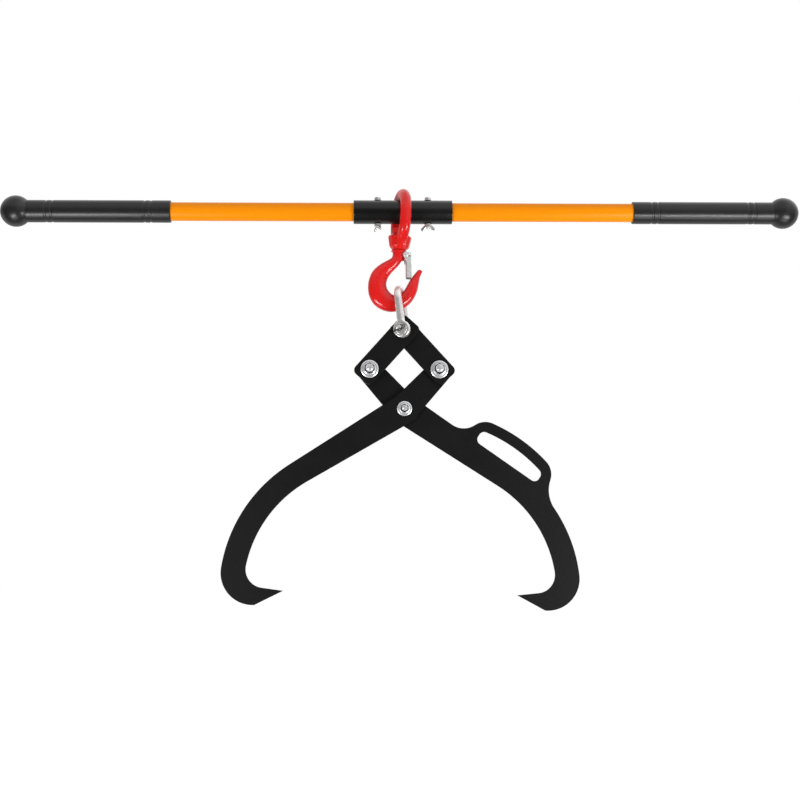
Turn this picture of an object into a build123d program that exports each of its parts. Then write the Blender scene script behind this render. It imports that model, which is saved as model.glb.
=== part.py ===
# Two-person log carrier: a carry bar in two halves, a swivel hook on its sleeve and scissor log tongs.
# X runs along the bar, Z is up and Y points away from the viewer. The origin is on the bar's axis, midway.
import math
import os

from build123d import *

# Carry bar: two tubes that meet in a sleeve, with a moulded grip over each outer end
bar_length = 1080.0
tube_diameter = 25.0
tube_wall = 2.0
tube_joint_gap = 1.0
sleeve_length = 133.0
sleeve_wall = 3.35
sleeve_play = 0.15
sleeve_chamfer = 0.8
grip_length = 228.0
grip_wall = 2.45
grip_play = 0.05
grip_lip_radius = 1.2
ball_diameter = 42.0
ball_floor = 26.0
ball_blend_radius = 3.0
groove_pair_offsets = (30.9, 162.4)
groove_pair_spacing = 8.3
groove_depth = 0.5
groove_width = 4.0
groove_floor_width = 1.8

# Bolts that pin the tubes in the sleeve, with wing nuts below
bar_bolt_spacing = 68.0
bar_bolt_diameter = 5.0
bar_bolt_head_flats = 8.0
bar_bolt_head_height = 3.5
bar_bolt_hole_play = 0.25
bar_washer_diameter = 10.0
bar_washer_thickness = 1.0
wing_nut_base_diameter = 10.0
wing_nut_top_diameter = 8.0
wing_nut_base_height = 5.0
wing_nut_height = 10.6
wing_nut_span = 20.0
wing_thickness = 2.0
wing_root_height = 1.5
wing_nut_play = 0.06
wing_nut_seat_gap = 0.2
bar_bolt_end = 2.0
left_wing_turn = 62.0
right_wing_turn = 10.0

# Swivel eye: an oval ring round the sleeve with a hub at its foot
hook_lean = 4.8
hook_offset = -1.05
eye_turn = 11.5
eye_ring_lean = -1.6
eye_rod_diameter = 15.0
eye_side_play = 3.5
eye_top_play = 0.4
eye_leg_length = 9.9
hub_rim_diameter = 31.8
hub_rim_bevel_width = 2.8
hub_rim_bevel_height = 2.2
hub_rim_height = 3.6
hub_foot_diameter = 26.6
hub_foot_below_floor = 16.1
hub_nose_diameter = 18.0
hub_height = 20.3
swivel_shank_diameter = 13.0
swivel_play = 0.2
swivel_gap = 0.4
swivel_seat_play = 1.5
swivel_washer_diameter = 22.0
swivel_washer_thickness = 1.5
swivel_nut_flats = 19.0
swivel_nut_height = 8.0
swivel_shank_end = 1.5
swivel_pin_diameter = 3.0
swivel_pin_length = 18.0

# Hook: where its inner and outer faces are below the swivel hub, from neck to point, and how thick it is
neck_diameter = 16.4
neck_collar_diameter = 20.4
neck_collar_height = 2.4
hook_sections = (
    ((6.6, -9.5), (-8.6, -9.5), 15.0),
    ((2.6, -18.2), (-14.4, -14.8), 15.5),
    ((-9.7, -34.6), (-32.6, -30.6), 16.5),
    ((-13.2, -45.4), (-37.4, -45.5), 17.5),
    ((-8.3, -57.4), (-30.2, -73.4), 18.0),
    ((0.8, -61.4), (-3.4, -84.4), 18.0),
    ((10.3, -55.2), (21.8, -69.4), 17.0),
    ((16.4, -42.6), (29.8, -47.6), 14.0),
    ((22.4, -32.2), (31.0, -34.8), 9.5),
    ((28.8, -23.1), (34.4, -25.3), 6.4),
)
hook_tip_rounding = 0.46

# Safety latch, its lug on the neck, its pin and its spring
latch_pin_x = 9.8
latch_pin_drop = 6.0
latch_pin_diameter = 3.5
latch_pin_play = 0.15
latch_rivet_diameter = 6.4
latch_rivet_height = 1.2
latch_lug_radius = 3.4
latch_lug_thickness = 4.4
latch_lug_foot = (5.4, -10.6)
latch_sheet = 1.2
latch_half_width = 8.6
latch_ear_radius = 4.2
latch_bend_radius = 2.6
latch_corner = (14.2, -5.4)
latch_corner_radius = 2.6
latch_eyelet_centre = (14.4, -6.6)
latch_eyelet_size = (2.8, 5.0)
latch_edge_top = (17.0, -12.0)
latch_edge_end = (20.0, -36.8)
latch_web_top = (10.3, -15.0)
latch_web_end = (12.3, -36.8)
latch_ear_gap = 0.2
spring_wire = 1.0
spring_mean_diameter = 7.0
spring_whole_turns = 1
spring_pitch = 1.5
spring_side_gap = 1.0
spring_latch_leg = 11.0
spring_latch_leg_lean = 17.0
spring_neck_leg = 1.5
spring_pocket_play = 0.4

# Shackle between hook and tongs
shackle_rod_diameter = 10.0
shackle_jaw = 22.0
shackle_leg_length = 41.2
shackle_ear_diameter = 22.6
shackle_lean = 6.8
shackle_turn = 13.5
shackle_pin_diameter = 10.0
shackle_pin_play = 0.15
shackle_pin_end = 0.6
shackle_collar_diameter = 15.0
shackle_collar_thickness = 2.5
shackle_tab_diameter = 19.0
shackle_tab_neck = 12.0
shackle_tab_reach = 8.5
shackle_tab_thickness = 3.4
shackle_tab_hole = 7.0
shackle_tab_turn = 25.0
shackle_seat_gap = 0.3
bowl_centre = (0.3, -47.3)
bowl_radius = 11.6
bow_rest_angle = -50.0

# Tongs: four flat plates on three pivot bolts and the shackle pin
plate_thickness = 6.0
plate_gap = 0.4
plate_chamfer = 0.6
pivot_spacing = 70.0
link_angle = 42.0
link_width = 32.0
link_end = 16.0
link_foot_end = 17.4
link_corner_radius = 7.0
link_pin_hole_play = 2.0
pivot_hole_play = 0.25
centre_hole_play = 0.5
hub_radius = 19.9
hub_offset = 0.4
limb_root = 19.2
left_limb_end = (17.2, 13.6)
right_limb_end = (15.3, 16.0)
left_arm_drop = 31.2
right_arm_drop = 34.1
blade_centre_u = 166.3
blade_centre_v = -182.4
blade_radius = 198.2
blade_width = 31.7
heel_radius = 42.7
heel_start_angle = 40.3
heel_end_angle = -61.0
throat_radius = 24.5
throat_start_angle = 42.9
throat_end_angle = -50.5
point_length = 29.0

# Hand loop on the right arm, in the arm's own frame: a chain of tangent arcs, and the slot inside it
loop_start_radius = 27.4
loop_start_u = 65.1
loop_left_radius = 25.0
loop_top_radius = 217.0
loop_top_centre = (147.4, -163.6)
loop_right_radius = 25.0
loop_right_u = 192.0
loop_end_radius = 43.0
loop_rim = 14.3
slot_left_u = 103.2
slot_right_u = 202.5
slot_floor_left = 17.2
slot_floor_right = 15.3
slot_corner_radius = 7.6

# Pivot bolts: bolt diameter, flats of head and nut, head height, nut height, washer diameter and thickness
link_pivot_sizes = (8.0, 13.0, 5.3, 8.0, 24.0, 2.0)
centre_pivot_sizes = (6.0, 10.0, 4.0, 6.0, 20.0, 1.6)
pivot_bolt_end = 1.6
nut_hex_share = 0.66
nut_bore_play = 0.05
nut_insert_height = 1.4
nut_collar_wall = 1.0
washer_bore_play = 0.6
washer_drop = 0.5
washer_back_gap = 0.2
spacer_wall = 4.0
hex_chamfer = 0.7

# Worked-out sizes
sleeve_radius = tube_diameter / 2 + sleeve_play + sleeve_wall
grip_radius = tube_diameter / 2 + grip_play + grip_wall
grip_mouth_x = bar_length / 2 - grip_length
ball_centre_x = bar_length / 2 - ball_diameter / 2
tube_end_x = bar_length / 2 - ball_floor
bolt_x = bar_bolt_spacing / 2
eye_inner_radius = sleeve_radius + eye_side_play
eye_mean_radius = eye_inner_radius + eye_rod_diameter / 2
eye_arch_z = sleeve_radius + eye_top_play - eye_inner_radius
eye_foot_z = eye_arch_z - eye_leg_length
eye_floor_z = eye_foot_z - eye_inner_radius
hub_foot_z = eye_floor_z - hub_height
hook_top_z = hub_foot_z - swivel_gap
shank_radius = swivel_shank_diameter / 2
blade_inner_radius = blade_radius - blade_width

hook_frame = Location((hook_offset, 0, 0), (0, hook_lean, 0))
eye_frame = hook_frame * Location((0, 0, 0), (0, 0, eye_turn))
pieces = {}


def rod_x(radius, x0, x1):
    return Pos((x0 + x1) / 2, 0, 0) * Rot(0, 90, 0) * Cylinder(radius, x1 - x0)


def rod_y(radius, y0, y1, x=0.0, z=0.0):
    return Pos(x, (y0 + y1) / 2, z) * Rot(90, 0, 0) * Cylinder(radius, y1 - y0)


def rod_z(radius, z0, z1, x=0.0, y=0.0):
    return Pos(x, y, (z0 + z1) / 2) * Cylinder(radius, z1 - z0)


def hex_prism(flats, height):
    # A hexagon standing on the XY plane with the corners of its upper end broken
    corner_radius = flats / math.sqrt(3)
    blank = Pos(0, 0, height / 2) * Cylinder(corner_radius, height)
    blank = chamfer(blank.edges().group_by(Axis.Z)[-1], hex_chamfer)
    return extrude(RegularPolygon(corner_radius, 6), height) & blank


def polar(centre, radius, degrees):
    angle = math.radians(degrees)
    return (centre[0] + radius * math.cos(angle), centre[1] + radius * math.sin(angle))


def arc(centre, radius, start, end):
    points = [polar(centre, radius, a) for a in (start, (start + end) / 2, end)]
    return ThreePointArc(*points)


def make_tube_half():
    outer = rod_x(tube_diameter / 2, tube_joint_gap / 2, tube_end_x)
    bore = rod_x(tube_diameter / 2 - tube_wall, tube_joint_gap / 2, tube_end_x)
    hole = rod_z(bar_bolt_diameter / 2 + bar_bolt_hole_play, -tube_diameter, tube_diameter, bolt_x)
    return outer - bore - hole


def make_sleeve():
    half = sleeve_length / 2
    body = rod_x(sleeve_radius, -half, half)
    body = chamfer(body.edges().filter_by(GeomType.CIRCLE), sleeve_chamfer)
    body -= rod_x(sleeve_radius - sleeve_wall, -half, half)
    for x in (-bolt_x, bolt_x):
        body -= rod_z(bar_bolt_diameter / 2 + bar_bolt_hole_play, -2 * sleeve_radius, 2 * sleeve_radius, x)
    return body


def make_grip():
    length = ball_centre_x - grip_mouth_x
    body = Pos(grip_mouth_x + length / 2, grip_radius / 2) * Rectangle(length, grip_radius)
    ball = Pos(ball_centre_x, 0) * Circle(ball_diameter / 2)
    half_plane = Pos(bar_length / 2, ball_diameter) * Rectangle(2 * bar_length, 2 * ball_diameter)
    profile = (body + ball) & half_plane
    ball_radius = ball_diameter / 2
    neck_x = ball_centre_x - math.sqrt(ball_radius**2 - grip_radius**2)
    for x, radius in ((neck_x, ball_blend_radius), (grip_mouth_x, grip_lip_radius)):
        corner = profile.vertices().sort_by_distance(Vector(x, grip_radius, 0))[0]
        profile = fillet(corner, radius)
    for pair_offset in groove_pair_offsets:
        for side in (-0.5, 0.5):
            x = grip_mouth_x + pair_offset + side * groove_pair_spacing
            wide = groove_width / 2
            floor = groove_floor_width / 2
            top = grip_radius + groove_depth
            bottom = grip_radius - groove_depth
            groove = make_face(
                Polyline((x - wide, top), (x - wide, grip_radius), (x - floor, bottom), (x + floor, bottom),
                         (x + wide, grip_radius), (x + wide, top), close=True)
            )
            profile -= groove
    body = revolve(profile, Axis.X)
    return body - rod_x(tube_diameter / 2 + grip_play, grip_mouth_x, tube_end_x)


def make_bar_bolt(x):
    washer_top = sleeve_radius + bar_washer_thickness
    end = -sleeve_radius - wing_nut_seat_gap - wing_nut_base_height - bar_bolt_end
    shank = rod_z(bar_bolt_diameter / 2, end, washer_top, x)
    return shank + Pos(x, 0, washer_top) * hex_prism(bar_bolt_head_flats, bar_bolt_head_height)


def make_bar_washer(x):
    top = sleeve_radius + bar_washer_thickness
    disc = rod_z(bar_washer_diameter / 2, sleeve_radius, top, x)
    return disc - rod_z(bar_bolt_diameter / 2 + washer_bore_play, sleeve_radius, top, x)


def make_wing_nut(x, turn):
    # Built with its seat on the XY plane and its wings upwards, then turned over under the sleeve
    base = Cone(wing_nut_base_diameter / 2, wing_nut_top_diameter / 2, wing_nut_base_height)
    base = Pos(0, 0, wing_nut_base_height / 2) * base
    inner = bar_bolt_diameter / 2 + wing_nut_play
    wing = make_face(
        Polyline((inner + 0.6, wing_root_height), (wing_nut_base_diameter / 2, wing_root_height),
                 (wing_nut_span / 2, wing_nut_height * 0.62), (wing_nut_span / 2, wing_nut_height),
                 (wing_nut_span / 2 - 3.4, wing_nut_height), (inner + 0.6, wing_nut_base_height), close=True)
    )
    outer_corners = wing.vertices().group_by(Axis.X)[-1]
    wing = fillet(outer_corners, 1.6)
    plate = extrude(Plane.XZ * wing, wing_thickness / 2, both=True)
    nut = base + plate + Rot(0, 0, 180) * plate
    nut -= rod_z(inner, -1, wing_nut_height)
    return Pos(x, 0, -sleeve_radius - wing_nut_seat_gap) * Rot(180, 0, turn) * nut


def make_eye():
    # An oval ring leaned on its foot, fused to a turned hub and bored for the swivel shank
    path = Polyline((0, -eye_mean_radius, eye_foot_z), (0, -eye_mean_radius, eye_arch_z))
    path += ThreePointArc((0, -eye_mean_radius, eye_arch_z), (0, 0, eye_arch_z + eye_mean_radius),
                          (0, eye_mean_radius, eye_arch_z))
    path += Line((0, eye_mean_radius, eye_arch_z), (0, eye_mean_radius, eye_foot_z))
    path += ThreePointArc((0, eye_mean_radius, eye_foot_z), (0, 0, eye_foot_z - eye_mean_radius),
                          (0, -eye_mean_radius, eye_foot_z))
    section = Plane((0, -eye_mean_radius, eye_foot_z)) * Circle(eye_rod_diameter / 2)
    ring = sweep(section, path=path)
    ring = ring.rotate(Axis((0, 0, eye_floor_z), (0, 1, 0)), eye_ring_lean)
    hub = revolve(
        Plane.XZ * make_face(
            Polyline((0, eye_floor_z), (hub_rim_diameter / 2 - hub_rim_bevel_width, eye_floor_z),
                     (hub_rim_diameter / 2, eye_floor_z - hub_rim_bevel_height),
                     (hub_rim_diameter / 2, eye_floor_z - hub_rim_height),
                     (hub_foot_diameter / 2, eye_floor_z - hub_foot_below_floor),
                     (hub_nose_diameter / 2, hub_foot_z), (0, hub_foot_z), close=True)
        ),
        Axis.Z,
    )
    eye = ring + hub
    seat_radius = swivel_washer_diameter / 2 + swivel_seat_play
    eye -= rod_z(seat_radius, eye_floor_z, eye_foot_z + eye_inner_radius / 2)
    return eye - rod_z(shank_radius + swivel_play, hub_foot_z - 1, eye_floor_z + 1)


def hook_point(point):
    return Vector(point[0], 0, hub_foot_z + point[1])


def hook_section_face(inner, outer, thickness):
    across = hook_point(outer) - hook_point(inner)
    middle = (hook_point(outer) + hook_point(inner)) * 0.5
    plane = Plane(middle, x_dir=across, z_dir=across.cross(Vector(0, 1, 0)))
    return plane * Ellipse(across.length / 2, thickness / 2)


def make_hook():
    neck_z = hook_top_z - neck_collar_height
    neck = Plane((0, 0, neck_z), x_dir=(-1, 0, 0), z_dir=(0, 0, -1)) * Circle(neck_diameter / 2)
    body = loft([neck] + [hook_section_face(*section) for section in hook_sections])
    tip_width = (hook_point(hook_sections[-1][1]) - hook_point(hook_sections[-1][0])).length
    tip_face = body.faces().filter_by(GeomType.PLANE).sort_by(SortBy.AREA)[0]
    body = fillet(tip_face.edges(), tip_width * hook_tip_rounding)
    body += rod_z(neck_collar_diameter / 2, neck_z, hook_top_z)
    lug_z = hook_top_z - latch_pin_drop
    lug_half = latch_lug_thickness / 2
    pocket_radius = (spring_mean_diameter + spring_wire) / 2 + spring_pocket_play
    body -= rod_y(pocket_radius, lug_half, latch_half_width, latch_pin_x, lug_z)
    lug = Pos(latch_pin_x / 2, 0, lug_z) * Box(latch_pin_x, latch_lug_thickness, 2 * latch_lug_radius)
    for lug_point in ((latch_pin_x, lug_z), (latch_lug_foot[0], hub_foot_z + latch_lug_foot[1])):
        lug += rod_y(latch_lug_radius, -lug_half, lug_half, *lug_point)
    body += lug
    body -= rod_y(latch_pin_diameter / 2, -latch_half_width, latch_half_width, latch_pin_x, lug_z)
    body += rod_z(shank_radius, hook_top_z - 1, swivel_nut_top + swivel_shank_end)
    return body - swivel_pin_hole()


def swivel_pin_hole():
    z = swivel_nut_top - swivel_nut_height / 2
    return Pos(0, 0, z) * rod_x(swivel_pin_diameter / 2, -swivel_nut_flats, swivel_nut_flats)


def make_swivel_washer():
    disc = rod_z(swivel_washer_diameter / 2, swivel_washer_z, swivel_washer_z + swivel_washer_thickness)
    return disc - rod_z(shank_radius + washer_bore_play, swivel_washer_z, 0)


def make_swivel_nut():
    nut = Pos(0, 0, swivel_nut_top - swivel_nut_height) * hex_prism(swivel_nut_flats, swivel_nut_height)
    return nut - rod_z(shank_radius + nut_bore_play, hub_foot_z, 0) - swivel_pin_hole()


def make_swivel_pin():
    z = swivel_nut_top - swivel_nut_height / 2
    return Pos(0, 0, z) * rod_x(swivel_pin_diameter / 2, -swivel_pin_length / 2, swivel_pin_length / 2)


def make_latch():
    # A channel of sheet steel: a web on the bowl side, two eared flanges, an eyelet in the front one
    ear_z = hook_top_z - latch_pin_drop
    corners = [hook_point(p) for p in (latch_web_top, latch_web_end, latch_edge_end, latch_edge_top)]
    outline = [(p.X, p.Z) for p in corners]
    corner = hook_point(latch_corner)
    ear_left = (latch_pin_x - latch_ear_radius, ear_z)
    ear_top = (latch_pin_x, ear_z + latch_ear_radius)
    corner_top = (corner.X, corner.Z + latch_corner_radius)
    corner_right = (corner.X + latch_corner_radius, corner.Z)
    flange = make_face(Polyline(ear_left, *outline, corner_right, corner_top, ear_top, close=True))
    flange += Pos(latch_pin_x, ear_z) * Circle(latch_ear_radius)
    flange += Pos(corner.X, corner.Z) * Circle(latch_corner_radius)
    flange -= Pos(latch_pin_x, ear_z) * Circle(latch_pin_diameter / 2 + latch_pin_play)
    (x0, z0), (x1, z1) = outline[0], outline[1]
    front = Plane((0, latch_half_width, 0), x_dir=(1, 0, 0), z_dir=(0, -1, 0))
    prism = extrude(front * flange, 2 * latch_half_width)
    web_length = math.hypot(x1 - x0, z1 - z0)
    along = (x1 - x0, 0, z1 - z0)
    start = Plane((x0, 0, z0), x_dir=(0, 1, 0), z_dir=along)
    deep = 2 * (latch_edge_end[0] - latch_web_end[0])
    side = 1 if start.y_dir.X > 0 else -1
    channel = Pos(0, side * deep / 2) * Rectangle(2 * latch_half_width, deep)
    channel = fillet(channel.vertices(), latch_bend_radius)
    inner = Pos(0, side * (deep / 2 + latch_sheet)) * Rectangle(2 * (latch_half_width - latch_sheet), deep)
    channel -= fillet(inner.vertices(), latch_bend_radius - latch_sheet)
    latch = extrude(start * channel, 2 * web_length) & prism
    upper = Pos(x0, 0, z0 + web_length / 2) * Box(2 * deep + web_length, 2 * latch_half_width, web_length)
    for y in (-latch_half_width, latch_half_width - latch_sheet):
        plane = Plane((0, y + latch_sheet, 0), x_dir=(1, 0, 0), z_dir=(0, -1, 0))
        latch += extrude(plane * flange, latch_sheet) & upper
    eyelet = hook_point(latch_eyelet_centre)
    eyelet_width, eyelet_height = latch_eyelet_size
    slot = Pos(eyelet.X, eyelet.Z) * Rot(0, 0, 90) * SlotOverall(eyelet_height, eyelet_width)
    middle = Plane((0, 0, 0), x_dir=(1, 0, 0), z_dir=(0, -1, 0))
    return latch - extrude(middle * slot, 2 * latch_half_width)


def make_latch_pin():
    z = hook_top_z - latch_pin_drop
    half = latch_half_width + latch_ear_gap
    pin = rod_y(latch_pin_diameter / 2, -half, half, latch_pin_x, z)
    for side in (-1, 1):
        ends = sorted((side * half, side * (half + latch_rivet_height)))
        head = rod_y(latch_rivet_diameter / 2, *ends, latch_pin_x, z)
        rim = head.edges().filter_by(GeomType.CIRCLE).sort_by(Axis.Y)[-1 if side > 0 else 0]
        pin += fillet(rim, latch_rivet_height * 0.7)
    return pin


def biarc(start, start_tangent, end, end_tangent):
    # Two tangent arcs between two points with given tangents
    chord = end - start
    total = start_tangent + end_tangent
    bend = 2 * (1 - start_tangent.dot(end_tangent))
    along = chord.dot(total)
    reach = (math.sqrt(along**2 + bend * chord.dot(chord)) - along) / bend
    first = start + start_tangent * reach
    last = end - end_tangent * reach
    middle = (first + last) * 0.5
    tangent = (last - first).normalized()
    return [TangentArc(start, middle, tangent=start_tangent), TangentArc(middle, end, tangent=tangent)]


def make_latch_spring():
    # A torsion coil round the latch pin: one leg lies along the latch's web, the other against the neck
    radius = spring_mean_diameter / 2
    centre = Vector(latch_pin_x, latch_lug_thickness / 2 + spring_side_gap + spring_wire / 2,
                    hook_top_z - latch_pin_drop)
    first_angle = math.pi + math.radians(spring_latch_leg_lean)
    sweep_angle = first_angle + math.pi / 2 + 2 * math.pi * spring_whole_turns

    def coil_point(share):
        angle = first_angle - share * sweep_angle
        rise = spring_pitch * share * sweep_angle / (2 * math.pi)
        return centre + Vector(radius * math.cos(angle), rise, radius * math.sin(angle))

    def coil_tangent(share):
        angle = first_angle - share * sweep_angle
        rise = spring_pitch / (2 * math.pi * radius)
        return Vector(math.sin(angle), rise, -math.cos(angle)).normalized()

    bends = math.ceil(sweep_angle / (math.pi / 2))
    path = Curve()
    path += Line(coil_point(0) - coil_tangent(0) * spring_latch_leg, coil_point(0))
    for bend in range(bends):
        ends = (bend / bends, (bend + 1) / bends)
        path += biarc(coil_point(ends[0]), coil_tangent(ends[0]), coil_point(ends[1]), coil_tangent(ends[1]))
    path += Line(coil_point(1), coil_point(1) + coil_tangent(1) * spring_neck_leg)
    start_plane = Plane(coil_point(0) - coil_tangent(0) * spring_latch_leg, z_dir=coil_tangent(0))
    wire = sweep(start_plane * Circle(spring_wire / 2), path=path)
    steps = 160
    half_turn = round(steps * math.pi / sweep_angle)
    points = [coil_point(i / steps) for i in range(steps + 1)]
    gaps = [(a - b).length for i, a in enumerate(points) for b in points[i + half_turn:]]
    print("latch spring least gap to itself", round(min(gaps) - spring_wire, 2), "mm")
    return wire


def make_shackle_bow():
    # Local frame: the pin runs along Y at the origin and the bow stands up along Z
    leg_y = shackle_jaw / 2 + shackle_rod_diameter / 2
    path = Polyline((0, -leg_y, 0), (0, -leg_y, shackle_leg_length))
    path += ThreePointArc((0, -leg_y, shackle_leg_length), (0, 0, shackle_leg_length + leg_y),
                          (0, leg_y, shackle_leg_length))
    path += Line((0, leg_y, shackle_leg_length), (0, leg_y, 0))
    bow = sweep(Plane((0, -leg_y, 0)) * Circle(shackle_rod_diameter / 2), path=path)
    inner = shackle_jaw / 2
    outer = inner + shackle_rod_diameter
    for y0, y1 in ((-outer, -inner), (inner, outer)):
        ear = rod_y(shackle_ear_diameter / 2, y0, y1)
        bow += fillet(ear.edges().filter_by(GeomType.CIRCLE), 1.2)
    return bow - rod_y(shackle_pin_diameter / 2 + shackle_pin_play, -2 * outer, 2 * outer)


def make_shackle_pin():
    outer = shackle_jaw / 2 + shackle_rod_diameter
    collar_y = -outer - shackle_pin_play
    tab_y = collar_y - shackle_collar_thickness
    pin = rod_y(shackle_pin_diameter / 2, tab_y, outer + shackle_pin_end)
    pin += rod_y(shackle_collar_diameter / 2, tab_y, collar_y)
    centre_y = tab_y - shackle_tab_reach
    neck_length = shackle_tab_reach + shackle_collar_thickness / 2
    tab = Pos(0, centre_y) * Circle(shackle_tab_diameter / 2)
    tab += Pos(0, centre_y + neck_length / 2) * Rectangle(shackle_tab_neck, neck_length)
    tab -= Pos(0, centre_y) * Circle(shackle_tab_hole / 2)
    plate = extrude(tab, shackle_tab_thickness / 2, both=True)
    outline = plate.edges().filter_by(GeomType.CIRCLE)
    plate = fillet(outline, 0.9)
    return pin + Rot(0, -shackle_tab_turn, 0) * plate


def make_link(pin_x, pin_z, side, y_front):
    # A straight bar from the shackle pin down to its side, side -1 for left and 1 for right
    angle = math.radians(link_angle)
    along = (side * math.sin(angle), 0, -math.cos(angle))
    plane = Plane((pin_x, y_front, pin_z), x_dir=along, z_dir=(0, 1, 0))
    middle = (pivot_spacing + link_foot_end - link_end) / 2
    length = pivot_spacing + link_end + link_foot_end
    face = Pos(middle, 0) * RectangleRounded(length, link_width, link_corner_radius)
    face -= Circle(shackle_pin_diameter / 2 + link_pin_hole_play)
    face -= Pos(pivot_spacing, 0) * Circle(link_pivot_sizes[0] / 2 + nut_bore_play)
    return broken_edges(extrude(plane * face, plate_thickness))


def broken_edges(plate):
    faces = plate.faces().filter_by(Axis.Y)
    return chamfer(faces.edges(), plate_chamfer)


def tangent_points(radius, sign):
    # Where the straight edge from the hub circle meets the hub and the blade's arc of this radius.
    # The edge lies above both circles for sign 1, and between them for sign -1.
    # The hub circle lies off the pivot hole, towards the jaw's inside.
    distance = math.hypot(blade_centre_u, blade_centre_v + hub_offset)
    direction = math.atan2(blade_centre_v + hub_offset, blade_centre_u)
    offset = sign * hub_radius - radius
    normal = direction + math.acos(offset / distance)
    nx, ny = math.cos(normal), math.sin(normal)
    hub = (sign * hub_radius * nx, sign * hub_radius * ny - hub_offset)
    blade = (blade_centre_u + radius * nx, blade_centre_v + radius * ny)
    return hub, blade, math.degrees(normal)


def blade_outline(upper_edge):
    # The arm below its centre pivot, in its own frame: u along the limb, v towards the outside of the jaw
    centre = (blade_centre_u, blade_centre_v)
    upper_hub = tangent_points(blade_radius, 1)[0]
    lower_hub, lower_end, lower_angle = tangent_points(blade_inner_radius, -1)
    heel_centre = polar(centre, blade_radius - heel_radius, heel_start_angle)
    throat_centre = polar(centre, blade_inner_radius - throat_radius, throat_start_angle)
    heel_end = polar(heel_centre, heel_radius, heel_end_angle)
    throat_end = polar(throat_centre, throat_radius, throat_end_angle)
    point = polar(throat_end, point_length, throat_end_angle - 90)
    return make_face(upper_edge + [
        arc(heel_centre, heel_radius, heel_start_angle, heel_end_angle),
        Line(heel_end, point),
        Line(point, throat_end),
        arc(throat_centre, throat_radius, throat_end_angle, throat_start_angle),
        arc(centre, blade_inner_radius, throat_start_angle, lower_angle),
        Line(lower_end, lower_hub),
        Line(lower_hub, upper_hub),
    ])


def plain_edge():
    upper_hub, upper_end, upper_angle = tangent_points(blade_radius, 1)
    blade = (blade_centre_u, blade_centre_v)
    return [Line(upper_hub, upper_end), arc(blade, blade_radius, upper_angle, heel_start_angle)]


def arm_face(drop, limb_end, upper_edge):
    # The whole arm without its centre hole: upper limb to the link, round hub and blade.
    # The limb tapers from its root's half width to the end's, which differ on the outer and the inner side.
    outer, inner = limb_end
    turn = math.radians(180 - (90 - link_angle) + drop)
    limb_length = pivot_spacing + link_end
    limb = make_face(
        Polyline((0, limb_root), (limb_length, outer), (limb_length, -inner), (0, -limb_root), close=True)
    )
    limb = fillet(limb.vertices().group_by(Axis.X)[-1], link_corner_radius)
    hub = Pos(0, -hub_offset) * Circle(hub_radius)
    face = blade_outline(upper_edge) + hub + Rot(0, 0, math.degrees(turn)) * limb
    pivot = polar((0, 0), pivot_spacing, math.degrees(turn))
    return face - Pos(*pivot) * Circle(link_pivot_sizes[0] / 2 + pivot_hole_play)


def circles_touch(first, second, span_first, span_second, above):
    # The centre at these distances from two points, on the upper or the lower side of the line between them
    dx, dy = second[0] - first[0], second[1] - first[1]
    distance = math.hypot(dx, dy)
    along = (distance**2 + span_first**2 - span_second**2) / (2 * distance)
    across = math.sqrt(span_first**2 - along**2) * (1 if above else -1)
    u = first[0] + (along * dx - across * dy) / distance
    v = first[1] + (along * dy + across * dx) / distance
    return (u, v)


def touch_angle(centre, other):
    return math.degrees(math.atan2(other[1] - centre[1], other[0] - centre[0]))


def hand_loop_edge():
    # The limb's upper edge with the hand loop: tangent arcs that rise from the limb and fall to the blade
    blade = (blade_centre_u, blade_centre_v)
    upper_hub, upper_end, upper_angle = tangent_points(blade_radius, 1)
    slope = (upper_end[1] - upper_hub[1]) / (upper_end[0] - upper_hub[0])
    edge_v = upper_hub[1] + slope * (loop_start_u - upper_hub[0])
    start = polar((loop_start_u, edge_v), loop_start_radius, upper_angle)
    left = circles_touch(start, loop_top_centre, loop_start_radius + loop_left_radius,
                         loop_top_radius - loop_left_radius, True)
    right_v = loop_top_centre[1] + math.sqrt(
        (loop_top_radius - loop_right_radius) ** 2 - (loop_right_u - loop_top_centre[0]) ** 2)
    right = (loop_right_u, right_v)
    end = circles_touch(right, blade, loop_right_radius + loop_end_radius,
                        blade_radius + loop_end_radius, True)
    return [
        Line(upper_hub, (loop_start_u, edge_v)),
        arc(start, loop_start_radius, upper_angle - 180, touch_angle(start, left)),
        arc(left, loop_left_radius, touch_angle(left, start), touch_angle(loop_top_centre, left)),
        arc(loop_top_centre, loop_top_radius, touch_angle(loop_top_centre, left),
            touch_angle(loop_top_centre, right)),
        arc(right, loop_right_radius, touch_angle(loop_top_centre, right), touch_angle(right, end)),
        arc(end, loop_end_radius, touch_angle(end, right) % 360, touch_angle(end, blade) % 360),
        arc(blade, blade_radius, touch_angle(blade, end), heel_start_angle),
    ]


def hand_slot_face():
    radius = loop_top_radius - loop_rim
    ends = [loop_top_centre[1] + math.sqrt(radius**2 - (u - loop_top_centre[0]) ** 2)
            for u in (slot_left_u, slot_right_u)]
    top = (loop_top_centre[0], loop_top_centre[1] + radius)
    face = make_face([
        Polyline((slot_left_u, ends[0]), (slot_left_u, slot_floor_left), (slot_right_u, slot_floor_right),
                 (slot_right_u, ends[1])),
        ThreePointArc((slot_right_u, ends[1]), top, (slot_left_u, ends[0])),
    ])
    return fillet(face.vertices(), slot_corner_radius)


def make_arm(side, drop, y_front, face, bolt_hole):
    angle = math.radians(drop)
    face -= Circle(bolt_hole)
    along = (side * math.cos(angle), 0, -math.sin(angle))
    y = y_front + plate_thickness if side > 0 else y_front
    plane = Plane((centre_x, y, centre_z), x_dir=along, z_dir=(0, -side, 0))
    return broken_edges(extrude(plane * face, plate_thickness))


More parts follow.
